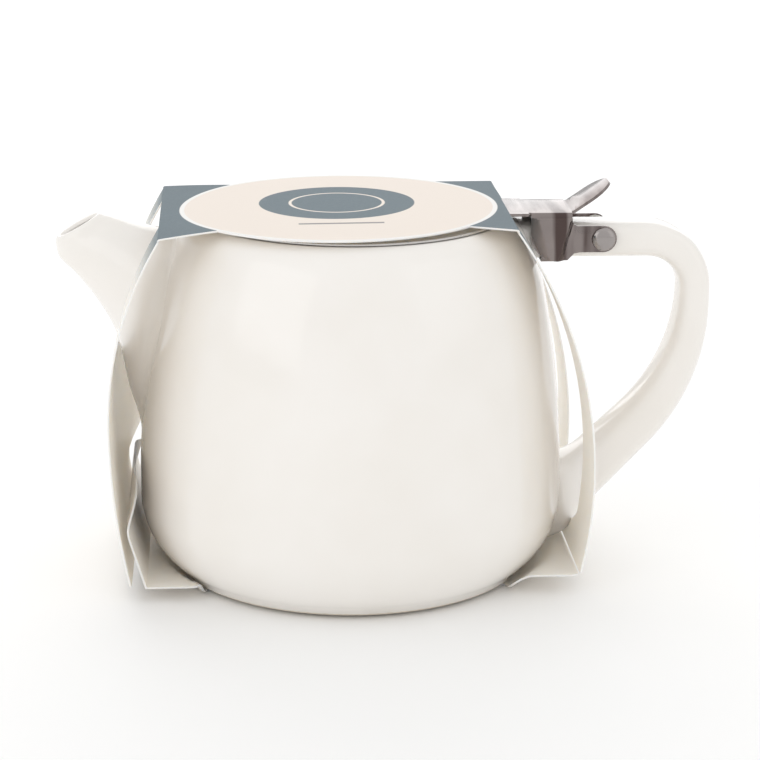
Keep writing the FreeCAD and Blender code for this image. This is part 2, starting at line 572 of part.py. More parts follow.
sleeve_base = new_body("sleeve_base")
base_left = "-(%s + base_left_spread)" % ROUND
base_right = "(%s + base_right_spread)" % ROUND
knee = "-(%s + knee_spread)" % ROUND
flap_top = "-(%s + flap_spread)" % ROUND
pad(sleeve_base, outline(sleeve_base, "base_outline", "XZ_Plane", [
    (base_left, "base_left_curl"),
    ("-(%s - base_inset)" % ROUND, "0"),
    ("%s - base_inset" % ROUND, "0"),
    (base_right, "base_right_curl"),
    (base_right, "base_right_curl + card_gauge"),
    ("%s - base_inset" % ROUND, "card_gauge"),
    ("-(%s - base_inset)" % ROUND, "card_gauge"),
    ("%s + card_gauge" % base_left, "base_left_curl + card_gauge"),
    ("%s + card_gauge" % knee, "knee_height"),
    ("%s + card_gauge" % flap_top, "flap_height"),
    (flap_top, "flap_height"),
    (knee, "knee_height")]), "card_width")
for side in ("-", ""):
    cut_through(sleeve_base, outline(sleeve_base, "flap_shoulder" + ("_front" if side else "_back"), "YZ_Plane", [
        ("%s(card_width / 2 + cutter_margin)" % side, "flap_shoulder_height"),
        ("%s(card_width / 2 + cutter_margin)" % side, "flap_height + cutter_margin"),
        ("%s(flap_tip_half)" % side, "flap_height + cutter_margin"),
        ("%s(flap_tongue_half)" % side, "flap_wing_height"),
        ("%s(flap_tongue_half)" % side, "flap_neck_height")]))

NODES = [pot_body, pot_spout, pot_handle, pin_bush, washers[0], washers[1], handle_clip,
         lid_plate, lid_skirt, hinge_bracket, pivot_pin,
         infuser_rim, infuser_wall, infuser_floor,
         sleeve_top, sleeve_left, sleeve_right, sleeve_base]

doc.recompute()
for item in doc.Objects:
    if "Invalid" in item.State or "Error" in item.State:
        raise RuntimeError("%s did not compute: %s" % (item.Name, item.State))
for node in NODES:
    if node.Shape.isNull() or not node.Shape.isValid() or not node.Shape.Solids:
        raise RuntimeError(node.Label + " has no valid solid")

os.makedirs("parts", exist_ok=True)
for node in NODES:
    node.Shape.exportStep("parts/%s.step" % node.Label)
    print("%-20s %2d solid  %9.1f mm3" % (node.Label, len(node.Shape.Solids), node.Shape.Volume))
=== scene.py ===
import json
import math
import bpy
import bmesh
import numpy as np
from mathutils import Matrix, Vector


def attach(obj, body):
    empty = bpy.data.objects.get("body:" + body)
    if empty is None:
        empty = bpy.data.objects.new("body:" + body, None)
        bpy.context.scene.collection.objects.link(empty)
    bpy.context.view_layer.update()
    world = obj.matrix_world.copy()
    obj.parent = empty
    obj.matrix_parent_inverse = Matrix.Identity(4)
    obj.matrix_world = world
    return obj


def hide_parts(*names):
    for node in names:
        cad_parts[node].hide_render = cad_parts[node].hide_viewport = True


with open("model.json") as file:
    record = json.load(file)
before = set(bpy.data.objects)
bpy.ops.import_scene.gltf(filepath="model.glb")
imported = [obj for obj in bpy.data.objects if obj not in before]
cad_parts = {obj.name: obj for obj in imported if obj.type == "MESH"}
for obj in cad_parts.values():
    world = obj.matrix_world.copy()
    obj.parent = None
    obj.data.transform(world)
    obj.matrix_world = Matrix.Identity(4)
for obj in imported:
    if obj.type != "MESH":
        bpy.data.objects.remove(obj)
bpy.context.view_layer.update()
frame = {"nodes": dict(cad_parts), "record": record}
mm = 0.001
shallowTurn = math.radians(15)  # gentler corners count as a round stretch
print("stage: frame loaded,", len(frame["nodes"]), "nodes")


# small shared helpers

def smoothStep(x):
    x = min(max(x, 0.0), 1.0)
    return x * x * (3 - 2 * x)


def arcPoints(start, end, radius, count):
    # points of the arc after start, bulging left for a positive radius
    start, end = Vector(start), Vector(end)
    chord = end - start
    side = Vector((-chord.y, chord.x)).normalized() * (1 if radius > 0 else -1)
    reach = math.sqrt(max(radius * radius - chord.length_squared / 4, 0))
    centre = (start + end) / 2 - side * reach
    a0 = math.atan2(start.y - centre.y, start.x - centre.x)
    a1 = math.atan2(end.y - centre.y, end.x - centre.x)
    turn = (a1 - a0 + math.pi) % (2 * math.pi) - math.pi
    angles = [a0 + turn * i / count for i in range(1, count + 1)]
    return [tuple(centre + abs(radius) * Vector((math.cos(a), math.sin(a)))) for a in angles]


def softCorners(points, size, closed=True):
    # rounds the sharp corners of a line of 2D points
    soft = []
    last = len(points)
    for i, here in enumerate(points):
        if not closed and i in (0, last - 1):
            soft.append(tuple(here))
            continue
        here, before, after = Vector(here), Vector(points[i - 1]), Vector(points[(i + 1) % last])
        way, out = here - before, after - here
        if way.length < 1e-9 or out.length < 1e-9:
            continue
        if way.angle(out) < shallowTurn:
            soft.append(tuple(here))
            continue
        reach = min(size, way.length * 0.45, out.length * 0.45)
        a, b = here - way.normalized() * reach, here + out.normalized() * reach
        for k in range(6):
            t = k / 5
            soft.append(tuple(a * (1 - t) ** 2 + here * 2 * t * (1 - t) + b * t * t))
    return soft


def makeMesh(name, verts, faces, material=None, smooth=True, fixNormals=True, merge=0.0):
    mesh = bpy.data.meshes.new(name)
    mesh.from_pydata([tuple(v) for v in verts], [], faces)
    work = bmesh.new()
    work.from_mesh(mesh)
    if merge:
        bmesh.ops.remove_doubles(work, verts=work.verts, dist=merge)
    if fixNormals:
        bmesh.ops.recalc_face_normals(work, faces=work.faces)
    for face in work.faces:
        face.smooth = smooth
    work.to_mesh(mesh)
    work.free()
    mesh.update()
    piece = bpy.data.objects.new(name, mesh)
    bpy.context.scene.collection.objects.link(piece)
    if material:
        mesh.materials.append(material)
    return piece


def bake(piece):
    # applies the modifiers by taking the evaluated mesh
    graph = bpy.context.evaluated_depsgraph_get()
    mesh = bpy.data.meshes.new_from_object(piece.evaluated_get(graph))
    piece.modifiers.clear()
    old = piece.data
    piece.data = mesh
    mesh.name = piece.name
    bpy.data.meshes.remove(old)
    return piece


def place(piece, body, nodes):
    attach(piece, body)
    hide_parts(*nodes)
    return piece


def turnedPiece(name, outline, material, steps, centre=(0, 0, 0), axis="Z", closed=True):
    # turns a closed (radius, height) outline, in millimetres, about an axis through centre
    verts, faces = [], []
    count = len(outline)
    for s in range(steps):
        angle = 2 * math.pi * s / steps
        for r, h in outline:
            if axis == "Z":
                p = (r * math.cos(angle), r * math.sin(angle), h)
            else:  # about Y, height runs to -Y
                p = (r * math.cos(angle), -h, r * math.sin(angle))
            verts.append(tuple(c * mm + o for c, o in zip(p, centre)))
    for s in range(steps):
        for i in range(count if closed else count - 1):
            a, b = s * count + i, s * count + (i + 1) % count
            c, d = ((s + 1) % steps) * count + (i + 1) % count, ((s + 1) % steps) * count + i
            faces.append((a, b, c, d))
    return makeMesh(name, verts, faces, material, merge=1e-6)


# materials

def newMaterial(name, colour, roughness, metallic=0.0, **sockets):
    material = bpy.data.materials.new(name)
    material.use_nodes = True
    shader = material.node_tree.nodes["Principled BSDF"]
    shader.inputs["Base Color"].default_value = (*colour, 1)
    shader.inputs["Roughness"].default_value = roughness
    shader.inputs["Metallic"].default_value = metallic
    for socket, value in sockets.items():
        shader.inputs[socket.replace("_", " ")].default_value = value
    return material, material.node_tree, shader


def addNode(tree, kind, operation):
    node = tree.nodes.new(kind)
    node.operation = operation
    return node


def maths(tree, operation, *values):
    node = addNode(tree, "ShaderNodeMath", operation)
    for socket, value in zip(node.inputs, values):
        if hasattr(value, "links"):
            tree.links.new(value, socket)
        else:
            socket.default_value = value
    return node.outputs[0]


def objectPoint(tree, scale=(1, 1, 1), shift=(0, 0, 0)):
    coords = tree.nodes.new("ShaderNodeTexCoord")
    mapping = tree.nodes.new("ShaderNodeMapping")
    mapping.inputs["Scale"].default_value = scale
    mapping.inputs["Location"].default_value = shift
    tree.links.new(coords.outputs["Object"], mapping.inputs["Vector"])
    return mapping.outputs["Vector"]


def noise(tree, vector, scale, detail=3.0, roughness=0.5):
    node = tree.nodes.new("ShaderNodeTexNoise")
    node.inputs["Scale"].default_value = scale
    node.inputs["Detail"].default_value = detail
    node.inputs["Roughness"].default_value = roughness
    tree.links.new(vector, node.inputs["Vector"])
    return node.outputs["Fac"]


def ramp(tree, value, stops):
    node = tree.nodes.new("ShaderNodeValToRGB")
    tree.links.new(value, node.inputs["Fac"])
    marks = node.color_ramp.elements
    while len(marks) < len(stops):
        marks.new(0.5)
    for mark, (position, colour) in zip(marks, stops):
        mark.position = position
        mark.color = (*colour, 1) if len(colour) == 3 else colour
    return node.outputs["Color"]


def remap(tree, value, low, high, fromLow=0.0, fromHigh=1.0):
    node = tree.nodes.new("ShaderNodeMapRange")
    node.inputs["From Min"].default_value = fromLow
    node.inputs["From Max"].default_value = fromHigh
    node.inputs["To Min"].default_value = low
    node.inputs["To Max"].default_value = high
    tree.links.new(value, node.inputs["Value"])
    return node.outputs["Result"]


def bump(tree, height, shader, strength, distance):
    node = tree.nodes.new("ShaderNodeBump")
    node.inputs["Strength"].default_value = strength
    node.inputs["Distance"].default_value = distance
    tree.links.new(height, node.inputs["Height"])
    tree.links.new(node.outputs["Normal"], shader.inputs["Normal"])


def mixColour(tree, factor, a, b):
    node = tree.nodes.new("ShaderNodeMix")
    node.data_type = "RGBA"
    for socket, value in ((node.inputs[0], factor), (node.inputs[6], a), (node.inputs[7], b)):
        if hasattr(value, "links"):
            tree.links.new(value, socket)
        elif isinstance(value, (int, float)):
            socket.default_value = value
        else:
            socket.default_value = (*value, 1)
    return node.outputs[2]


glazeLook = {"colour": (0.905, 0.875, 0.835), "pooled": (0.875, 0.84, 0.79), "roughness": 0.10,
             "bare": (0.70, 0.63, 0.53), "bareEdge": (1.5, 2.0), "cloudScale": 38, "edgeScale": 900,
             "speckScale": 260, "waveScale": 75}


def makeGlaze():
    material, tree, shader = newMaterial("warmWhiteGlaze", glazeLook["colour"], glazeLook["roughness"],
                                         Coat_Weight=0.35, Coat_Roughness=0.03, IOR=1.52)
    point = objectPoint(tree)
    cloud = noise(tree, point, glazeLook["cloudScale"], 2)  # slow variation of the glaze's thickness
    tone = ramp(tree, cloud, [(0.35, glazeLook["colour"]), (0.75, glazeLook["pooled"])])
    split = tree.nodes.new("ShaderNodeSeparateXYZ")
    tree.links.new(point, split.inputs[0])
    edge = noise(tree, point, glazeLook["edgeScale"], 2)
    wobble = maths(tree, "MULTIPLY_ADD", edge, 0.0008, split.outputs["Z"])
    low, high = glazeLook["bareEdge"]  # the foot is left bare below this band
    bare = remap(tree, wobble, 1, 0, low * mm, high * mm)
    tree.links.new(mixColour(tree, bare, tone, glazeLook["bare"]), shader.inputs["Base Color"])
    rough = remap(tree, noise(tree, point, glazeLook["speckScale"], 3), 0.07, 0.15)
    tree.links.new(maths(tree, "MULTIPLY_ADD", bare, 0.7, rough), shader.inputs["Roughness"])
    bump(tree, noise(tree, point, glazeLook["waveScale"], 2), shader, 0.05, 0.0006)
    return material


# the polished steel colour is darkened below that of real steel to stand in for dark surroundings reflected
# in it, and the darkest colour paints dark reflection bands on it
steelLook = {"satin": (0.60, 0.585, 0.57), "bright": (0.27, 0.235, 0.225), "reflectionDark": (0.085, 0.062, 0.058),
             "rivet": (0.38, 0.35, 0.34)}


def makeSteel(name, colour, rough, grainScale, paintedReflection=None):
    material, tree, shader = newMaterial(name, colour, rough, 1.0, Anisotropic=0.35)
    point = objectPoint(tree, scale=grainScale)
    lines = noise(tree, point, 1.0, 4, 0.65)  # brushing drawn out along one axis
    cloud = noise(tree, objectPoint(tree), 120, 3)
    shade = ramp(tree, cloud, [(0.3, tuple(c * 0.9 for c in colour)), (0.7, colour)])
    if paintedReflection:  # polished sheet: soft upright dark bands, painted reflection
        bands = noise(tree, objectPoint(tree, scale=(260, 40, 30)), 1.0, 2, 0.4)
        shade = mixColour(tree, remap(tree, bands, 0, 1, 0.40, 0.60), paintedReflection, shade)
    tree.links.new(shade, shader.inputs["Base Color"])
    worn = remap(tree, maths(tree, "MULTIPLY", lines, cloud), rough * 0.7, rough * 1.6, 0.1, 0.45)
    tree.links.new(worn, shader.inputs["Roughness"])
    bump(tree, lines, shader, 0.12, 0.00004)
    return material


def makeNylon():
    material, tree, shader = newMaterial("nylonBush", (0.78, 0.76, 0.70), 0.45, Subsurface_Weight=0.1)
    point = objectPoint(tree)
    tree.links.new(remap(tree, noise(tree, point, 700), 0.38, 0.55), shader.inputs["Roughness"])
    bump(tree, noise(tree, point, 1500), shader, 0.1, 0.00005)
    return material


cardLook = {"board": (0.90, 0.84, 0.76), "inside": (0.91, 0.85, 0.765), "ink": (0.085, 0.130, 0.155),
            "cream": (0.79, 0.71, 0.635), "rim": (0.83, 0.815, 0.79), "edge": (0.92, 0.90, 0.86),
            "insideFaded": (0.88, 0.81, 0.72), "edgeFaded": (0.82, 0.80, 0.76),
            "halfway": (0.56, 0.57, 0.55), "bar": (0.25, 0.24, 0.235), "fade": (101, 84)}


# thin board lets some light through
paperGlow = {"Specular_IOR_Level": 0.3, "Subsurface_Weight": 0.85, "Subsurface_Radius": (1.0, 0.88, 0.75),
             "Subsurface_Scale": 0.0024}


def cardGrain(tree, shader, point):
    fibre = noise(tree, point, 1400, 4, 0.7)
    tree.links.new(remap(tree, fibre, 0.42, 0.6), shader.inputs["Roughness"])
    bump(tree, fibre, shader, 0.10, 0.00006)


def makeCard(name, colour, faded):
    material, tree, shader = newMaterial(name, colour, 0.55, **paperGlow)
    point = objectPoint(tree)
    mottled = ramp(tree, noise(tree, point, 55, 4), [(0.3, faded), (0.7, colour)])
    tree.links.new(mottled, shader.inputs["Base Color"])
    cardGrain(tree, shader, point)
    return material


def makeCardOutside():
    # side panels: blue-grey under the crease, fading into cream lower down
    inkFrom, inkTo = cardLook["fade"]
    material, tree, shader = newMaterial("cardSidePrint", cardLook["board"], 0.5, **paperGlow)
    point = objectPoint(tree)
    split = tree.nodes.new("ShaderNodeSeparateXYZ")
    tree.links.new(point, split.inputs[0])
    level = remap(tree, split.outputs["Z"], 0, 1, inkTo * mm, inkFrom * mm)
    stops = [(0.0, cardLook["board"]), (0.45, cardLook["halfway"]), (1.0, cardLook["ink"])]
    tree.links.new(ramp(tree, level, stops), shader.inputs["Base Color"])
    cardGrain(tree, shader, point)
    return material


discLook = {"centreX": -3.5, "radius": 44.0, "border": 1.3, "blur": 0.12, "badgeX": -3.8, "badgeY": 4.9,
            "badgeRadius": 21.7, "ring": (0.62, 0.58), "barY": -22.3, "barHalf": (11.5, 0.8)}


def ringMask(tree, centre, radius):
    # 1 inside a circle about centre, 0 outside
    point = objectPoint(tree, scale=(1, 1, 0), shift=(-centre[0] * mm, -centre[1] * mm, 0))
    length = addNode(tree, "ShaderNodeVectorMath", "LENGTH")
    tree.links.new(point, length.inputs[0])
    blur = discLook["blur"]
    return remap(tree, length.outputs["Value"], 1, 0, (radius - blur) * mm, (radius + blur) * mm)


def makeCardTop():
    material, tree, shader = newMaterial("cardTopPrint", cardLook["ink"], 0.55, Specular_IOR_Level=0.22)
    disc = (discLook["centreX"], 0)
    badge = (discLook["badgeX"], discLook["badgeY"])
    point = objectPoint(tree)
    worn = tuple(c * 0.92 for c in cardLook["ink"])
    shade = ramp(tree, noise(tree, point, 60, 3), [(0.3, worn), (0.7, cardLook["ink"])])
    outer, inner = (discLook["badgeRadius"] * share for share in discLook["ring"])
    for centre, radius, paint in ((disc, discLook["radius"], "rim"),
                                  (disc, discLook["radius"] - discLook["border"], "cream"),
                                  (badge, discLook["badgeRadius"], "ink"), (badge, outer, "cream"),
                                  (badge, inner, "ink")):
        shade = mixColour(tree, ringMask(tree, centre, radius), shade, cardLook[paint])
    split = tree.nodes.new("ShaderNodeSeparateXYZ")
    barPoint = objectPoint(tree, shift=(-discLook["badgeX"] * mm, -discLook["barY"] * mm, 0))
    tree.links.new(barPoint, split.inputs[0])
    inBar, blur = 1.0, discLook["blur"]
    for axis, half in zip("XY", discLook["barHalf"]):  # a plain bar below the badge
        size = maths(tree, "ABSOLUTE", split.outputs[axis])
        side = remap(tree, size, 1, 0, (half - blur) * mm, (half + blur) * mm)
        inBar = maths(tree, "MULTIPLY", side, inBar)
    shade = mixColour(tree, inBar, shade, cardLook["bar"])
    tree.links.new(shade, shader.inputs["Base Color"])
    cardGrain(tree, shader, point)
    return material


glaze = makeGlaze()
steelSatin = makeSteel("satinSteel", steelLook["satin"], 0.30, (60, 2600, 2600))
# polished steel: colour darkened and banded as painted reflection
steelBright = makeSteel("brightSteel", steelLook["bright"], 0.11, (90, 1900, 1900), steelLook["reflectionDark"])
steelRivet = makeSteel("rivetSteel", steelLook["rivet"], 0.14, (900, 900, 900))
nylon = makeNylon()
cardInside = makeCard("cardInside", cardLook["inside"], cardLook["insideFaded"])
cardEdge = makeCard("cardCutEdge", cardLook["edge"], cardLook["edgeFaded"])
cardSide = makeCardOutside()
cardTop = makeCardTop()
slotMaterials = {"glaze": glaze, "steel": steelSatin, "steel_bright": steelBright, "bush": nylon,
                 "card": cardInside, "card_print": cardTop}
for row in frame["record"]["subparts"]:
    node = frame["nodes"][row["node"]]
    node.data.materials.clear()
    node.data.materials.append(slotMaterials[row["material_slot"]])
print("stage: materials made")


# the pot's body, thrown and glazed, with its seat for the lid and a passage into the spout

potLook = {"steps": 160, "edgeSoft": 0.9, "footRecess": 44.0, "recessTop": 1.7, "rim": (43.2, 100.6),
           "foot": [(49.6, 0.5), (51.5, 3.0)],  # (radius, height), then arcs: end, radius, steps
           "arcs": [((59.8, 20.5), -22.6, 14), ((54.0, 80.5), -308, 22), ((48.2, 96.4), -55.9, 12),
                    ((44.0, 100.2), -9.1, 8)],
           "seat": [(40.5, 100.6), (40.5, 96.5), (37.5, 96.5), (37.5, 93.6), (46.6, 89.6), (50.0, 80.5)],
           "innerArcs": [((55.8, 20.5), 304, 20), ((46.69, 4.5), 18.6, 10)],
           "holeHalf": (11.6, 9.6), "holeHeight": 67.5, "holeSteps": 48, "holeFrom": -64.0, "holeTo": -40.0}


def bodyLine():
    # the outside of the pot from the foot to the rim, as (radius, height)
    line = list(potLook["foot"])
    for end, bulge, count in potLook["arcs"]:
        line += arcPoints(line[-1], end, bulge, count)
    return line + [potLook["rim"]]


def bodyRadius(height):
    line = bodyLine()
    for (r0, z0), (r1, z1) in zip(line, line[1:]):
        if z0 <= height <= z1:
            return r0 + (r1 - r0) * (height - z0) / (z1 - z0)
    return line[-1][0] if height > line[-1][1] else line[0][0]


def makePotBody():
    inside = list(potLook["seat"])
    for end, bulge, count in potLook["innerArcs"]:
        inside += arcPoints(inside[-1], end, bulge, count)
    top, reach = potLook["recessTop"], potLook["footRecess"]
    recess = [(0.0, top), (reach, top), (reach + 1.4, potLook["foot"][0][1])]
    floor = [(0.0, inside[-1][1])]
    outline = softCorners(recess + bodyLine() + inside + floor, potLook["edgeSoft"], closed=False)
    pot = turnedPiece("potSkin", outline, glaze, potLook["steps"], closed=False)
    halfZ, halfY = potLook["holeHalf"]
    n = potLook["holeSteps"]
    ring = []
    for i in range(n):
        angle = 2 * math.pi * i / n
        ring.append((halfY * math.cos(angle), potLook["holeHeight"] + halfZ * math.sin(angle)))
    verts = [Vector((x, y, z)) * mm for x in (potLook["holeFrom"], potLook["holeTo"]) for y, z in ring]
    faces = [(i, (i + 1) % n, n + (i + 1) % n, n + i) for i in range(n)]
    cutter = makeMesh("passageCutter", verts, faces + [tuple(range(n)), tuple(range(n, 2 * n))])
    cut = pot.modifiers.new("passage", "BOOLEAN")
    cut.operation, cut.object, cut.solver = "DIFFERENCE", cutter, "EXACT"
    bake(pot)
    bpy.data.objects.remove(cutter)
    pot.data.set_sharp_from_angle(angle=math.radians(50))
    return place(pot, "pot", ["pot_body"])


# spout: rings that fan round from the pot's wall to the tilted mouth

spoutLook = {"top": [(-47.2, 97.5), (-52.4, 96.9), (-57.0, 97.8), (-60.6, 98.8), (-63.8, 99.8),
                     (-66.6, 100.6), (-68.4, 101.0)],
             "under": [(-59.3, 37.5), (-62.6, 52.5), (-65.4, 66.6), (-70.3, 76.4), (-76.2, 84.2),
                       (-80.7, 88.9), (-81.7, 93.4)],
             "halfWidth": [16.4, 14.4, 12.3, 10.2, 8.2, 6.6, 5.7], "egg": 0.30, "around": 64, "rings": 36,
             "bore": [(12.0, 10.0), (11.0, 9.6), (10.2, 8.4), (8.8, 7.2), (7.4, 5.8), (6.2, 4.6),
                      (5.4, 3.5)],  # half height and half width of the passage at each key
             "sunk": 0.15, "boreSunk": 2.0, "rootPull": 1.1, "heart": (-58, 0, 70),
             "lipRise": 0.9, "lipTilt": 28, "lipSteps": (0.08, 0.2, 0.35, 0.5, 0.65, 0.8, 0.92)}


def hermite(p0, m0, p1, m1, t):
    return (p0 * (2 * t ** 3 - 3 * t * t + 1) + m0 * (t ** 3 - 2 * t * t + t) + p1 * (3 * t * t - 2 * t ** 3)
            + m1 * (t ** 3 - t * t))


def throughPoints(keys, count, firstTangent=None):
    # a smooth line through the keys, count points in all
    last = len(keys) - 1
    tangents = []
    for i in range(len(keys)):
        share = 0.5 if 0 < i < last else 1.0
        tangents.append((keys[min(i + 1, last)] - keys[max(i - 1, 0)]) * share)
    if firstTangent is not None:
        tangents[0] = firstTangent
    line = []
    for i in range(count):
        at = i / (count - 1) * last
        k = min(int(at), last - 1)
        line.append(hermite(keys[k], tangents[k], keys[k + 1], tangents[k + 1], at - k))
    return line


def spoutKeys(angle, sizes=None):
    # the key points down one side line of the spout; angle 0 is the ridge on top
    keys = []
    last = len(spoutLook["top"]) - 1
    stations = zip(spoutLook["top"], spoutLook["under"], spoutLook["halfWidth"])
    for k, (top, under, width) in enumerate(stations):
        high, low = Vector((top[0], 0, top[1])), Vector((under[0], 0, under[1]))
        middle, half = (high + low) / 2, (high - low).length / 2
        along = (high - low).normalized()
        if sizes:
            half, width = sizes[k]
        egg = 0 if sizes else spoutLook["egg"] * (1 - k / last)
        across = width * math.sin(angle) * (1 + egg * math.cos(angle))
        point = middle + along * half * math.cos(angle) + Vector((0, across, 0))
        if k == 0:
            depth = spoutLook["boreSunk"] if sizes else spoutLook["sunk"]
            reach = bodyRadius(point.z) - depth
            point.x = -math.sqrt(max(reach * reach - point.y * point.y, 1))
        keys.append(point)
    return keys


def makeSpout():
    around, rings = spoutLook["around"], spoutLook["rings"]
    tilt = math.radians(spoutLook["lipTilt"])
    mouthUp = Vector((-math.sin(tilt), 0, math.cos(tilt)))
    verts = []
    for i in range(around):
        angle = 2 * math.pi * i / around
        keys = spoutKeys(angle)
        root = keys[0]
        slope = (bodyRadius(root.z + 1) - bodyRadius(root.z - 1)) / 2
        flat = Vector((root.x, root.y, 0)).normalized()
        normal = (flat - Vector((0, 0, slope))).normalized()
        inward = Vector(spoutLook["heart"]) - root
        pull = (keys[1] - root).length * spoutLook["rootPull"]
        inward = (inward - normal * inward.dot(normal)).normalized() * pull
        line = throughPoints(keys, rings, inward)
        bore = throughPoints(spoutKeys(angle, spoutLook["bore"]), rings)
        lip = [line[-1] * (1 - t) + bore[-1] * t + mouthUp * spoutLook["lipRise"] * math.sin(math.pi * t)
               for t in spoutLook["lipSteps"]]
        verts.append(line + lip + bore[::-1])
    count = len(verts[0])
    faces = []
    for i in range(around):
        for k in range(count):
            a, b = i * count + k, i * count + (k + 1) % count
            c, d = ((i + 1) % around) * count + (k + 1) % count, ((i + 1) % around) * count + k
            faces.append((a, b, c, d))
    spout = makeMesh("spoutSkin", [v * mm for line in verts for v in line], faces, glaze)
    return place(spout, "pot", ["pot_spout"])


# handle: one slip-cast bow, swept between its outer and inner lines

handleLook = {"halfWidth": 7.2, "squareness": 3.4, "around": 40, "topFlare": 1.2, "topFlareUp": 0.3,
              "heelFlare": 3.4, "flareReach": 9.0, "steps": (22, 16, 60)}


def evenly(line, count):
    # count points at even steps along a line of 2D points
    gone = [0.0]
    for a, b in zip(line, line[1:]):
        gone.append(gone[-1] + (Vector(b) - Vector(a)).length)
    spots = np.linspace(0, gone[-1], count)
    across, up = ([p[axis] for p in line] for axis in (0, 1))
    return list(zip(np.interp(spots, gone, across), np.interp(spots, gone, up)))


def handleLines():
    # the bow's outer and inner lines, as (x, z): straight top, corner, then down to the heel
    outer = [(46.0, 98.4), (82.0, 98.4)]
    outerCorner = [outer[-1]] + arcPoints(outer[-1], (101.0, 79.4), 19.0, 14)
    bow = [outerCorner[-1], (101.0, 74.0)]
    bow += arcPoints(bow[-1], (84.87, 33.46), 59.0, 16)
    bow += [(71.33, 19.15)]
    bow += arcPoints(bow[-1], (55.0, 8.7), 40.0, 8)
    inner = [(46.0, 88.4), (82.6, 88.4)]
    innerCorner = [inner[-1]] + arcPoints(inner[-1], (92.2, 78.8), 9.6, 14)
    hollow = [innerCorner[-1]] + arcPoints(innerCorner[-1], (77.27, 44.05), 47.9, 16)
    hollow += [(55.0, 22.91)]
    lines = []
    for runs in ((outer, outerCorner, bow), (inner, innerCorner, hollow)):
        line = [evenly(runs[0], handleLook["steps"][0])[0]]
        for run, count in zip(runs, handleLook["steps"]):
            line += evenly(run, count)[1:]
        lines.append(line)
    return lines


def makeHandle():
    outer, inner = handleLines()
    power = 2 / handleLook["squareness"]
    verts, faces = [], []
    around = handleLook["around"]
    bendAt = sum(handleLook["steps"][:2]) - 8  # halfway round the upper corner
    for i, (a, b) in enumerate(zip(outer, inner)):
        a, b = Vector((a[0], 0, a[1])), Vector((b[0], 0, b[1]))
        middle, half = (a + b) / 2, (a - b) / 2
        clear = middle.x - bodyRadius(middle.z)
        flare = handleLook["topFlare"] if i < bendAt else handleLook["heelFlare"]
        grow = flare * max(0.0, 1 - max(clear, 0) / handleLook["flareReach"]) ** 2
        long = half.length + grow * (handleLook["topFlareUp"] if i < bendAt else 1)
        wide = handleLook["halfWidth"] + grow
        for s in range(around):
            angle = 2 * math.pi * s / around
            cos, sin = math.cos(angle), math.sin(angle)
            up = math.copysign(abs(cos) ** power, cos) * long
            side = math.copysign(abs(sin) ** power, sin) * wide
            verts.append((middle + half.normalized() * up + Vector((0, side, 0))) * mm)
    for i in range(len(outer) - 1):
        for s in range(around):
            a, b = i * around + s, i * around + (s + 1) % around
            faces.append((a, b, b + around, a + around))
    faces += [tuple(range(around)), tuple(range(len(verts) - around, len(verts)))]
    handle = makeMesh("handleSkin", verts, faces, glaze)
    handle.data.set_sharp_from_angle(angle=math.radians(60))
    return place(handle, "pot", ["pot_handle"])


makePotBody()
makeSpout()
makeHandle()
print("stage: pot, spout and handle made")


# anything cut from flat stock: a flat outline, sliced where it bends, then laid on its path

def foldedSheet(name, outline, slices, bend, thickness, materials, soften=0.0, offset=-1.0, flip=False):
    # outline is flat (u, v), slices are (point, direction) pairs, bend takes (u, v) to its place
    corners = [(u, v, 0) for u, v in (outline[::-1] if flip else outline)]
    mesh = bpy.data.meshes.new(name)
    mesh.from_pydata(corners, [], [tuple(range(len(corners)))])
    work = bmesh.new()
    work.from_mesh(mesh)
    for point, direction in slices:
        bmesh.ops.bisect_plane(work, geom=work.verts[:] + work.edges[:] + work.faces[:], dist=1e-5,
                               plane_co=(*point, 0), plane_no=(*direction, 0))
    bmesh.ops.remove_doubles(work, verts=work.verts, dist=1e-4)
    for vert in work.verts:
        vert.co = Vector(bend(vert.co.x, vert.co.y)) * mm
    for face in work.faces:
        face.smooth = True
    work.to_mesh(mesh)
    work.free()
    piece = bpy.data.objects.new(name, mesh)
    bpy.context.scene.collection.objects.link(piece)
    for material in materials:
        mesh.materials.append(material)
    wall = piece.modifiers.new("thickness", "SOLIDIFY")
    wall.thickness, wall.offset, wall.use_even_offset = thickness * mm, offset, True
    wall.material_offset, wall.material_offset_rim = min(1, len(materials) - 1), min(2, len(materials) - 1)
    if soften:
        edge = piece.modifiers.new("softEdge", "BEVEL")
        edge.width, edge.segments, edge.limit_method = soften * mm, 2, "ANGLE"
        edge.angle_limit = math.radians(50)
    bake(piece)
    piece.data.set_sharp_from_angle(angle=math.radians(38))
    return piece


def crossCuts(values, axis):
    direction = (1, 0) if axis == "u" else (0, 1)
    return [((v, 0) if axis == "u" else (0, v), direction) for v in values]


def pathAt(path, distance):
    # the place (x, z) at a distance along a line of points; goes on straight past the ends
    gone = 0.0
    for i, (a, b) in enumerate(zip(path, path[1:])):
        step = math.dist(a, b)
        if distance <= gone + step or i == len(path) - 2:
            t = (distance - gone) / step
            return a[0] + (b[0] - a[0]) * t, a[1] + (b[1] - a[1]) * t
        gone += step


def pathMarks(path):
    marks = [0.0]
    for a, b in zip(path, path[1:]):
        marks.append(marks[-1] + math.dist(a, b))
    return marks


# card sleeve: a printed top with two hanging sides, and a base with a tuck flap

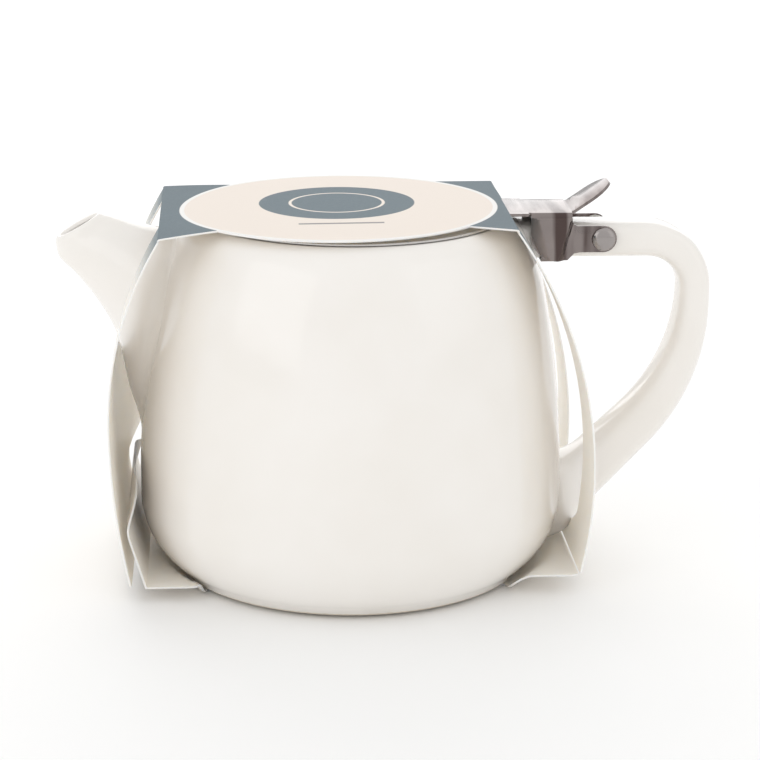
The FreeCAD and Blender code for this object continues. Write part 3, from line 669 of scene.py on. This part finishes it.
sleeveLook = {"gauge": 0.5, "halfWidth": 35.5, "bend": 0.55, "leftSlot": (17.0, 80.0),
              "rightSlot": (15.0, 17.0), "rightSlotBow": 21.8, "droop": 0.7, "hug": 7.5,
              "left": (-52.8, 102.1), "right": (42.8, 103.0),  # the two top creases, (x, z)
              "face": (28.5, 32.5),  # where the round face runs into the front and rear edges
              "leftPath": [(-52.8, 100.7), (-67.1, 50.0), (-62.1, 4.3)], "leftBow": (-100.0, -211.0),
              "rightPath": [(42.8, 102.2), (65.1, 33.3), (61.9, 6.2)], "rightBow": 118.4,
              "baseEnds": (61.3, -57.9), "crease": (-62.8, 20.5), "tip": (-61.6, 32.0), "flapLean": 2.8,
              "flat": 50.6, "curl": (3.9, 5.4), "curlReach": (4.6, 9.5)}


def makeSleeveTop():
    disc, shift = discLook["radius"], discLook["centreX"]
    (leftX, leftTop), (rightX, rightTop) = sleeveLook["left"], sleeveLook["right"]
    r = sleeveLook["bend"]
    path = [(leftX, leftTop - r)]
    path += arcPoints(path[-1], (leftX + r, leftTop + 0.005), r, 5)
    path += [(rightX - r, rightTop - 0.005)]
    path += arcPoints(path[-1], (rightX, rightTop - r), r, 5)
    path += [(rightX, rightTop - 0.7)]
    marks = pathMarks(path)
    flatOf = lambda x: marks[5] + (x - (leftX + r))
    width = sleeveLook["halfWidth"]
    onDisc = lambda y: math.sqrt(disc * disc - y * y)
    front, back = sleeveLook["face"]
    near, far = onDisc(front), onDisc(back)
    nearArc = arcPoints((-near, -front), (near, -front), -disc, 28)
    farArc = arcPoints((far, back), (-far, back), -disc, 28)
    edge = [(0.0, -width), (flatOf(shift - near), -front)] + [(flatOf(shift + x), y) for x, y in nearArc]
    edge += [(marks[-1], -width + 0.8), (marks[-1], back - 0.5), (flatOf(shift + far), back)]
    edge += [(flatOf(shift + x), y) for x, y in farArc] + [(0.0, width)]

    def lay(u, v):
        x, z = pathAt(path, u)
        return x, v, z - sleeveLook["droop"] * max(0.0, (-30 - x) / 22.8) ** 2

    bends = marks[1:-1] + [flatOf(x) for x in range(-51, -29, 3)]
    top = foldedSheet("cardTop", edge, crossCuts(bends, "u"), lay, sleeveLook["gauge"],
                      [cardTop, cardInside, cardEdge])
    return place(top, "sleeve_top", ["sleeve_top"])


def hangingSide(name, path, slot, closing, body, turned=False, hug=0.0):
    # one hanging side with an arch cut from its hem or crease for the spout or the handle
    marks = pathMarks(path)
    heights = [p[1] for p in path]
    flatOf = lambda z: float(np.interp(-z, [-h for h in heights], marks))
    width, half = sleeveLook["halfWidth"], slot[0]
    edge = [(0.0, -width), (marks[-1], -width), (marks[-1], width), (0.0, width), (0.0, half)]
    arch = [(half, slot[1])] + [(y, z) for y, z in closing]
    edge += [(flatOf(z), y) for y, z in arch]
    edge += [(0.0, -half)]

    def lay(u, v):  # the rear edge turns in towards the pot halfway down
        x, z = pathAt(path, u)
        middle = smoothStep((z - 20) / 18) * (1 - smoothStep((z - 64) / 24))
        return x + hug * smoothStep((v - 2) / (width - 2)) * middle, v, z

    slices = crossCuts(marks[1:-1], "u") + (crossCuts([2.0 + 3 * k for k in range(12)], "v") if hug else [])
    side = foldedSheet(name, softCorners(edge, 0.8), slices, lay, sleeveLook["gauge"],
                       [cardSide, cardInside, cardEdge], flip=turned)
    return place(side, body, [body])


def makeSleeveSides():
    start, bulge, hem = sleeveLook["leftPath"]
    upper, lower = sleeveLook["leftBow"]
    left = [start] + arcPoints(start, bulge, upper, 16)
    left += arcPoints(left[-1], hem, lower, 12)
    half, high = sleeveLook["leftSlot"]
    closing = arcPoints((half, high), (0, high - half), half, 9)
    closing += arcPoints((0, high - half), (-half, high), half, 9)
    hangingSide("cardLeft", left, sleeveLook["leftSlot"], closing, "sleeve_left", True, sleeveLook["hug"])
    start, bulge, hem = sleeveLook["rightPath"]
    right = [start] + arcPoints(start, bulge, sleeveLook["rightBow"], 20)
    right += arcPoints(right[-1], hem, sleeveLook["rightBow"], 8)
    half, high = sleeveLook["rightSlot"]
    closing = arcPoints((half, high), (-half, high), sleeveLook["rightSlotBow"], 14)
    hangingSide("cardRight", right, sleeveLook["rightSlot"], closing, "sleeve_right")


def makeSleeveBase():
    (kneeX, crease), (tipX, top) = sleeveLook["crease"], sleeveLook["tip"]
    rightEnd, leftEnd = sleeveLook["baseEnds"]
    path = [(rightEnd, 0.0), (leftEnd, 0.0), (kneeX, crease), (tipX, top)]
    path = path[:2] + softCorners(path[1:], 2.5, closed=False)[1:]
    marks = pathMarks(path)
    flatOf = lambda z: marks[-1] - (top - z) * math.hypot(tipX - kneeX, top - crease) / (top - crease)
    width = sleeveLook["halfWidth"]
    flap = [(21.0, width), (25.5, 30.0), (29.5, 20.0), (31.5, 12.0), (top, 6.0)]
    neck = [(17.7, width), (19.5, 27.0), (102.6, 27.0), (104.9, width)]  # drawn in where the pot covers it
    front = [(0.0, width)] + neck + [(flatOf(z), y) for z, y in flap]
    edge = [(u, -v) for u, v in front] + front[::-1]

    def lay(u, v):  # the panel lies flat under the pot's foot and lifts beyond it
        x, z = pathAt(path, u)
        curl, reach = (sleeveLook[name][0 if x < 0 else 1] for name in ("curl", "curlReach"))
        lift = curl * smoothStep((math.hypot(x, v) - sleeveLook["flat"]) / reach)
        lean = sleeveLook["flapLean"] * smoothStep((abs(v) - 8) / 20) * max(z - crease, 0) / (top - crease)
        return x + lean, v, z + lift * (1 - smoothStep(z / 20))

    flatEnd = rightEnd - leftEnd
    bends = marks[1:-1] + [float(k) for k in range(2, 32, 2)] + [flatEnd - k for k in range(1, 28, 2)]
    slices = crossCuts(bends, "u") + crossCuts([k * 2.2 for k in range(-15, 16)], "v")
    base = foldedSheet("cardBase", softCorners(edge, 2.0), slices, lay, sleeveLook["gauge"],
                       [cardSide, cardInside, cardEdge])
    return place(base, "pot", ["sleeve_base"])


makeSleeveTop()
makeSleeveSides()
makeSleeveBase()
print("stage: card sleeve folded")


# hinge bracket: one pressed blank with two ears, joggled tongues and a thumb lever

bracketLook = {"gauge": 0.8, "plateZ": 101.8, "earY": 10.1, "bend": 1.0, "joggle": 1.8, "leverTurn": 34.4,
               "leverBend": 1.6, "leverFrom": 60.5, "leverHalf": 8.2, "earFrom": 48.95, "edgeSoft": 0.14,
               "stepFrom": 55.9, "stepSlant": 0.25, "stepWidth": 2.8, "earFoot": 88.4}


def bracketBend(x, u):
    look = bracketLook
    side, reach = math.copysign(1, u), abs(u)
    start = look["earY"] - look["bend"]
    if x > look["leverFrom"] - 0.05 and reach <= look["leverHalf"]:  # thumb lever, rolled up
        turn = math.radians(look["leverTurn"])
        r, base = look["leverBend"], look["leverFrom"]
        bent = min((x - base) / r, turn)
        rest = max((x - base) - r * turn, 0)
        return (base + r * math.sin(bent) + rest * math.cos(turn), u,
                look["plateZ"] + r * (1 - math.cos(bent)) + rest * math.sin(turn))
    if x < look["earFrom"] or reach <= start:
        return (x, u, look["plateZ"])
    arc = min((reach - start) / look["bend"], math.pi / 2)
    down = max(reach - start - look["bend"] * math.pi / 2, 0)
    z = look["plateZ"] - look["bend"] * (1 - math.cos(arc)) - down
    step = look["stepFrom"] + (z - look["earFoot"]) * look["stepSlant"]
    y = start + look["bend"] * math.sin(arc)
    y -= look["joggle"] * smoothStep((x - step) / look["stepWidth"]) * smoothStep(down / 1.0)
    return (x, side * y, z)


def makeBracket():
    look = bracketLook
    start = look["earY"] - look["bend"]
    flatOf = lambda z: start + look["bend"] * math.pi / 2 + (look["plateZ"] - look["bend"] - z)
    half = [(33.0, 8.6), (33.4, 9.9), (34.8, 10.5), (48.3, 10.5), (48.3, start), (49.0, start)]
    half += [(49.0, flatOf(96.2))]
    half += arcPoints(half[-1], (56.6, flatOf(88.6)), 7.6, 8)
    half += [(59.6, flatOf(88.6)), (61.4, flatOf(90.5)), (63.0, flatOf(90.8)), (69.5, flatOf(90.8))]
    half += arcPoints(half[-1], (73.2, flatOf(94.5)), 3.7, 8)
    half += arcPoints(half[-1], (69.5, flatOf(98.2)), 3.7, 8)
    half += [(62.2, flatOf(98.2)), (61.0, flatOf(98.8)), (60.4, flatOf(99.6)), (60.4, start - 0.2)]
    half += [(60.6, 7.5), (67.4, 7.5)] + arcPoints((67.4, 7.5), (74.0, 2.2), 7.2, 8)
    outline = half + [(x, -u) for x, u in half[::-1]]
    folds = [start + look["bend"] * math.pi / 2 * k / 6 for k in range(7)] + [start + 2.1, start + 2.6]
    slices = crossCuts(folds, "v") + crossCuts([-u for u in folds], "v")
    slices += crossCuts([look["leverFrom"] + k * 0.16 for k in range(8)], "u")
    for k in range(9):  # slanted cuts along the joggle, on both ears
        at = look["stepFrom"] + look["stepWidth"] * k / 8
        for side in (1, -1):
            slices.append(((at, side * flatOf(look["earFoot"])), (1, side * look["stepSlant"])))
    bracket = foldedSheet("hingeBracketSheet", outline, slices, bracketBend, look["gauge"], [steelBright],
                          look["edgeSoft"], offset=0.0)
    return place(bracket, "lid", ["hinge_bracket"])


pinLook = {"centre": (0.0695, 0, 0.0945), "shank": 1.5, "seat": 8.7, "head": 3.3, "rise": 1.7, "brim": 0.35,
           "tail": [(0, 0.3), (1.3, 0.3), (1.5, 0.95), (2.1, 1.05), (2.6, 0.8), (2.7, 0.1), (2.7, 0)],
           "washer": (7.25, 7.75), "washerRadius": 3.4, "bush": 2.3, "bushHalf": 7.2, "bore": 1.55,
           "steps": 48}


def makePin():
    look = pinLook
    seat, head, rise = look["seat"], look["head"], look["rise"]
    brim = look["brim"]
    quarter = np.linspace(0, math.pi / 2, 12)
    dome = [(head * math.cos(a), seat + brim + (rise - brim) * math.sin(a)) for a in quarter]
    line = [(r, -seat - depth) for r, depth in look["tail"]]
    line += [(look["shank"], -seat), (look["shank"], seat), (head, seat)] + dome
    pin = turnedPiece("hingePin", softCorners(line, 0.2, closed=False), steelRivet, look["steps"],
                      look["centre"], "Y", closed=False)
    pin.data.set_sharp_from_angle(angle=math.radians(45))
    return place(pin, "lid", ["pivot_pin"])


def ringPiece(name, inner, outer, low, high, soft, material, steps, centre=(0, 0, 0), axis="Z"):
    line = softCorners([(inner, low), (outer, low), (outer, high), (inner, high)], soft)
    piece = turnedPiece(name, line, material, steps, centre, axis)
    piece.data.set_sharp_from_angle(angle=math.radians(50))
    return piece


def makeHingeSmalls():
    look = pinLook
    centre, steps = look["centre"], look["steps"]
    for side, name in ((1, "front"), (-1, "back")):
        low, high = sorted(side * edge for edge in look["washer"])
        washer = ringPiece("washer" + name.title(), look["bore"], look["washerRadius"], low, high, 0.12,
                           nylon, steps, centre, "Y")
        place(washer, "pot", ["pivot_washer_" + name])
    half = look["bushHalf"]
    bush = ringPiece("pinBush", look["bore"], look["bush"], -half, half, 0.15, nylon, steps, centre, "Y")
    place(bush, "pot", ["pin_bush"])


clipLook = {"x": (52.4, 57.8), "half": 7.55, "floor": 88.05, "height": 6.6, "bend": 1.1, "gauge": 0.5}


def clipBend(x, u):
    look = clipLook
    side, reach = math.copysign(1, u), abs(u)
    start = look["half"] - look["bend"]
    arc = min(max(reach - start, 0) / look["bend"], math.pi / 2)
    up = max(reach - start - look["bend"] * math.pi / 2, 0)
    return (x, side * (min(reach, start) + look["bend"] * math.sin(arc)),
            look["floor"] + look["bend"] * (1 - math.cos(arc)) + up)


def makeClip():
    look = clipLook
    start = look["half"] - look["bend"]
    end = start + look["bend"] * math.pi / 2 + look["height"] - look["bend"]
    (a, b) = look["x"]
    outline = softCorners([(a, -end), (b, -end), (b, end), (a, end)], 1.2)
    bends = [start + look["bend"] * math.pi / 2 * k / 6 for k in range(7)]
    slices = crossCuts(bends + [-v for v in bends], "v")
    clip = foldedSheet("handleSaddle", outline, slices, clipBend, look["gauge"], [steelBright], 0.08,
                       offset=0.0)
    return place(clip, "pot", ["handle_clip"])


makeBracket()
makePin()
makeHingeSmalls()
makeClip()
print("stage: hinge made")


# lid: a pressed disc with a shallow bead, and its locating skirt

lidLook = {"radius": 43.0, "low": 100.8, "high": 101.4, "bead": 38.2, "beadHalf": 0.9, "beadSunk": 0.18,
           "skirt": (38.9, 39.7), "skirtLow": 98.7, "edgeSoft": 0.28, "steps": 160}


def makeLid():
    look = lidLook
    high, low, r = look["high"], look["low"], look["radius"]
    sunk = look["beadSunk"]
    bead = []
    for angle in np.linspace(math.pi, 0, 9):
        across = math.cos(angle)
        bead.append((look["bead"] + look["beadHalf"] * across, high - sunk + sunk * abs(across)))
    line = [(0.0, high)] + bead + [(r, high), (r, low), (0.0, low)]
    outline = softCorners(line[::-1], look["edgeSoft"], closed=False)
    plate = turnedPiece("lidPlate", outline, steelSatin, look["steps"], closed=False)
    plate.data.set_sharp_from_angle(angle=math.radians(60))
    place(plate, "lid", ["lid_plate"])
    skirt = ringPiece("lidSkirt", *look["skirt"], look["skirtLow"], low, 0.25, steelSatin, look["steps"])
    place(skirt, "lid", ["lid_skirt"])


# infuser basket: punched wall and floor from one cell, placed by nodes

basketLook = {"radius": 36.0, "gauge": 0.5, "around": 92, "rows": 22, "firstRow": 39.5, "pitch": 2.4,
              "hole": 0.68, "holeSides": 10, "low": 35.6, "high": 96.6, "floorPitch": 2.6,
              "floorReach": 31.5, "floorGauge": 0.4, "floorTop": 35.55, "floorLow": 35.1, "floorLap": 1.6,
              "flange": (35.5, 40.0), "flangeTop": 97.2, "flangeSteps": 160}


def punchedCell(name, wide, high, hole, thick, sides):
    # a flat plate with one round hole, standing in the YZ plane, its outer face at x 0
    outer, inner = [], []
    for i in range(sides):
        angle = 2 * math.pi * (i + 0.5) / sides
        c, s = math.cos(angle), math.sin(angle)
        k = min(wide / 2 / max(abs(c), 1e-6), high / 2 / max(abs(s), 1e-6))
        outer.append((c * k, s * k))
        inner.append((c * hole, s * hole))
    corners = [(wide / 2 * a, high / 2 * b) for a, b in ((1, 1), (-1, 1), (-1, -1), (1, -1))]
    verts, faces = [], []
    for x in (0.0, -thick):
        verts += [(x, y, z) for y, z in outer + inner + corners]
    layer = 2 * sides + 4
    for base, flip in ((0, False), (layer, True)):
        for i in range(sides):
            j = (i + 1) % sides
            loop = [base + i, base + j, base + sides + j, base + sides + i]
            faces.append(tuple(loop if flip else loop[::-1]))
            onSide = [abs(abs(p[0]) - wide / 2) < 1e-6 for p in (outer[i], outer[j])]
            if onSide[0] != onSide[1]:  # a corner of the plate falls between these two spokes
                upright, level = (outer[i], outer[j]) if onSide[0] else (outer[j], outer[i])
                q = corners.index((math.copysign(wide / 2, upright[0]), math.copysign(high / 2, level[1])))
                tri = [base + i, base + 2 * sides + q, base + j]
                faces.append(tuple(tri if flip else tri[::-1]))
    for i in range(sides):
        j = (i + 1) % sides
        faces.append((sides + i, sides + j, layer + sides + j, layer + sides + i))
    return makeMesh(name, [Vector(v) * mm for v in verts], faces, None, smooth=False, fixNormals=False)


def punchTree(name, wrapped):
    # nodes that set one cell out in rows, round a wall or over a floor, realise it and give it its material
    tree = bpy.data.node_groups.new(name, "GeometryNodeTree")
    for title, kind in (("Geometry", "Geometry"), ("Cell", "Object"), ("Across", "Int"), ("Rows", "Int"),
                        ("Pitch", "Float"), ("Radius", "Float"), ("First Row", "Float"),
                        ("Material", "Material")):
        tree.interface.new_socket(title, in_out="INPUT", socket_type="NodeSocket" + kind)
    tree.interface.new_socket("Geometry", in_out="OUTPUT", socket_type="NodeSocketGeometry")
    link = tree.links.new
    given, result = tree.nodes.new("NodeGroupInput"), tree.nodes.new("NodeGroupOutput")
    across, rows, pitch = (given.outputs[title] for title in ("Across", "Rows", "Pitch"))
    grid = tree.nodes.new("GeometryNodeMeshGrid")
    link(across, grid.inputs["Vertices X"])
    link(rows, grid.inputs["Vertices Y"])
    cell = tree.nodes.new("GeometryNodeObjectInfo")
    link(given.outputs["Cell"], cell.inputs["Object"])
    index = tree.nodes.new("GeometryNodeInputIndex").outputs[0]
    column = maths(tree, "FLOOR", maths(tree, "DIVIDE", index, rows))
    row = maths(tree, "MODULO", index, rows)
    height = maths(tree, "MULTIPLY_ADD", row, pitch, given.outputs["First Row"])
    spot, turn = tree.nodes.new("ShaderNodeCombineXYZ"), tree.nodes.new("ShaderNodeCombineXYZ")
    scatter = tree.nodes.new("GeometryNodeInstanceOnPoints")
    move = tree.nodes.new("GeometryNodeSetPosition")
    link(grid.outputs["Mesh"], move.inputs["Geometry"])
    if wrapped:
        angle = maths(tree, "MULTIPLY", column, maths(tree, "DIVIDE", 2 * math.pi, across))
        for axis, kind in (("X", "COSINE"), ("Y", "SINE")):
            far = maths(tree, "MULTIPLY", maths(tree, kind, angle), given.outputs["Radius"])
            link(far, spot.inputs[axis])
        link(height, spot.inputs["Z"])
        link(angle, turn.inputs["Z"])
        link(move.outputs["Geometry"], scatter.inputs["Points"])
    else:
        link(maths(tree, "MULTIPLY_ADD", column, pitch, given.outputs["First Row"]), spot.inputs["X"])
        link(height, spot.inputs["Y"])
        length = addNode(tree, "ShaderNodeVectorMath", "LENGTH")
        position = tree.nodes.new("GeometryNodeInputPosition")
        link(position.outputs[0], length.inputs[0])
        trim = tree.nodes.new("GeometryNodeDeleteGeometry")  # cells past the floor's edge
        link(move.outputs["Geometry"], trim.inputs["Geometry"])
        outside = maths(tree, "GREATER_THAN", length.outputs["Value"], given.outputs["Radius"])
        link(outside, trim.inputs["Selection"])
        link(trim.outputs["Geometry"], scatter.inputs["Points"])
    link(spot.outputs[0], move.inputs["Position"])
    link(cell.outputs["Geometry"], scatter.inputs["Instance"])
    link(turn.outputs[0], scatter.inputs["Rotation"])
    real = tree.nodes.new("GeometryNodeRealizeInstances")
    paint = tree.nodes.new("GeometryNodeSetMaterial")
    link(scatter.outputs["Instances"], real.inputs["Geometry"])
    link(real.outputs["Geometry"], paint.inputs["Geometry"])
    link(given.outputs["Material"], paint.inputs["Material"])
    link(paint.outputs["Geometry"], result.inputs["Geometry"])
    return tree


def punchedSheet(name, tree, values):
    piece = makeMesh(name, [(0, 0, 0)], [], None)
    nodes = piece.modifiers.new("punching", "NODES")
    nodes.node_group = tree
    names = {item.name: item.identifier for item in tree.interface.items_tree if item.in_out == "INPUT"}
    for title, value in values.items():
        nodes[names[title]] = value
    bake(piece)
    work = bmesh.new()
    work.from_mesh(piece.data)
    bmesh.ops.remove_doubles(work, verts=work.verts, dist=2e-5)
    work.to_mesh(piece.data)
    work.free()
    return piece


def joinPieces(name, pieces):
    # several meshes as one object
    work = bmesh.new()
    for piece in pieces:
        work.from_mesh(piece.data)
    mesh = bpy.data.meshes.new(name)
    work.to_mesh(mesh)
    work.free()
    mesh.materials.append(pieces[0].data.materials[0])
    for piece in pieces:
        bpy.data.objects.remove(piece)
    joined = bpy.data.objects.new(name, mesh)
    bpy.context.scene.collection.objects.link(joined)
    return joined


def makeBasket():
    look = basketLook
    radius, thick = look["radius"], look["gauge"]
    facet = 2 * radius * math.tan(math.pi / look["around"])
    cell = punchedCell("wallCell", facet, look["pitch"], look["hole"], thick, look["holeSides"])
    wall = punchedSheet("wallPunched", punchTree("punchedWall", True),
                        {"Cell": cell, "Across": look["around"], "Rows": look["rows"],
                         "Pitch": look["pitch"] * mm, "Radius": radius * mm,
                         "First Row": look["firstRow"] * mm, "Material": steelSatin})
    bpy.data.objects.remove(cell)
    low = look["firstRow"] - look["pitch"] / 2
    high = low + look["rows"] * look["pitch"]
    bands = [ringPiece("band", radius - thick, radius, bottom, top, 0.05, steelSatin, look["around"])
             for bottom, top in ((look["low"], low), (high, look["high"]))]
    place(joinPieces("basketWall", [wall] + bands), "infuser", ["infuser_wall"])
    pitch = look["floorPitch"]
    side = int(look["floorReach"] * 2 / pitch) + 1
    cell = punchedCell("floorCell", pitch, pitch, look["hole"], look["floorGauge"], look["holeSides"])
    for vert in cell.data.vertices:  # lie the cell down
        x, y, z = vert.co
        vert.co = (-z, y, x)
    floor = punchedSheet("floorPunched", punchTree("punchedFloor", False),
                         {"Cell": cell, "Across": side, "Rows": side, "Pitch": pitch * mm,
                          "Radius": look["floorReach"] * mm, "First Row": -pitch * (side - 1) / 2 * mm,
                          "Material": steelSatin})
    bpy.data.objects.remove(cell)
    for vert in floor.data.vertices:
        vert.co.z += look["floorTop"] * mm
    inner = look["floorReach"] - look["floorLap"]
    edge = ringPiece("band", inner, radius, look["floorLow"], look["low"], 0.1, steelSatin, look["around"])
    place(joinPieces("basketFloor", [floor, edge]), "infuser", ["infuser_floor"])
    rim = ringPiece("basketRim", *look["flange"], look["high"], look["flangeTop"], 0.28, steelSatin,
                    look["flangeSteps"])
    place(rim, "infuser", ["infuser_rim"])


makeLid()
makeBasket()
print("stage: lid and basket made")


# camera, light and floor

cameraLook = {"focal": 110.72, "distance": 662.2, "pitch": 16.121, "azimuth": -3.903, "roll": 0.364,
              "aimAcross": 8.30, "aimHeight": 52.37}


def makeCamera():
    pitch, azimuth, roll = (math.radians(cameraLook[k]) for k in ("pitch", "azimuth", "roll"))
    aim = Vector((cameraLook["aimAcross"] * math.cos(azimuth), cameraLook["aimAcross"] * math.sin(azimuth),
                  cameraLook["aimHeight"])) * mm
    level = Vector((math.sin(azimuth), -math.cos(azimuth), 0))
    back = level * math.cos(pitch) + Vector((0, 0, math.sin(pitch)))
    right = (-back).cross(Vector((0, 0, 1))).normalized()
    up = right.cross(-back)
    tiltedRight = right * math.cos(roll) + up * math.sin(roll)
    tiltedUp = up * math.cos(roll) - right * math.sin(roll)
    data = bpy.data.cameras.new("productCamera")
    data.lens = cameraLook["focal"]
    data.sensor_width = 36
    camera = bpy.data.objects.new("productCamera", data)
    bpy.context.scene.collection.objects.link(camera)
    turn = Matrix((tiltedRight, tiltedUp, back)).transposed().to_4x4()
    camera.matrix_world = Matrix.Translation(aim + back * cameraLook["distance"] * mm) @ turn
    bpy.context.scene.camera = camera


# each light: where it stands, what it points at, its size in metres, its power in watts
studioLook = {"floor": (0.97, 0.97, 0.965), "floorRoughness": 0.7, "floorHalf": 4, "floorZ": -0.0002,
              "world": 0.90,
              "lights": {"topSoftbox": ((0.0, -0.2, 1.4), (0, 0, 0.05), (2.6, 2.2), 1.0),
                         "leftSoftbox": ((-1.5, -1.2, 0.8), (0, 0, 0.06), (1.6, 1.4), 3.6),
                         "rightSoftbox": ((1.5, -0.9, 0.8), (0, 0, 0.06), (1.4, 1.4), 1.2),
                         "backSweep": ((0.0, 1.6, 0.8), (0, 0.3, 0.0), (2.4, 1.2), 9)}}


def areaLight(name, at, aim, size, power):
    data = bpy.data.lights.new(name, "AREA")
    data.shape = "RECTANGLE"
    data.size, data.size_y = size
    data.energy = power
    lamp = bpy.data.objects.new(name, data)
    bpy.context.scene.collection.objects.link(lamp)
    lamp.location = at
    lamp.rotation_euler = (Vector(aim) - Vector(at)).to_track_quat("-Z", "Y").to_euler()


def makeStudio():
    half, z = studioLook["floorHalf"], studioLook["floorZ"]
    floor = makeMesh("studioFloor", [(-half, -half, z), (half, -half, z), (half, half, z), (-half, half, z)],
                     [(0, 1, 2, 3)], None, smooth=False, fixNormals=False)
    material = newMaterial("studioWhite", studioLook["floor"], studioLook["floorRoughness"])[0]
    floor.data.materials.append(material)
    world = bpy.data.worlds.new("studioWorld")
    world.use_nodes = True
    world.node_tree.nodes["Background"].inputs["Color"].default_value = (1, 1, 1, 1)
    world.node_tree.nodes["Background"].inputs["Strength"].default_value = studioLook["world"]
    bpy.context.scene.world = world
    bpy.context.scene.view_settings.view_transform = "Standard"
    for name, values in studioLook["lights"].items():
        areaLight(name, *values)


makeCamera()
makeStudio()
print("stage: camera and studio set")

bpy.context.view_layer.update()
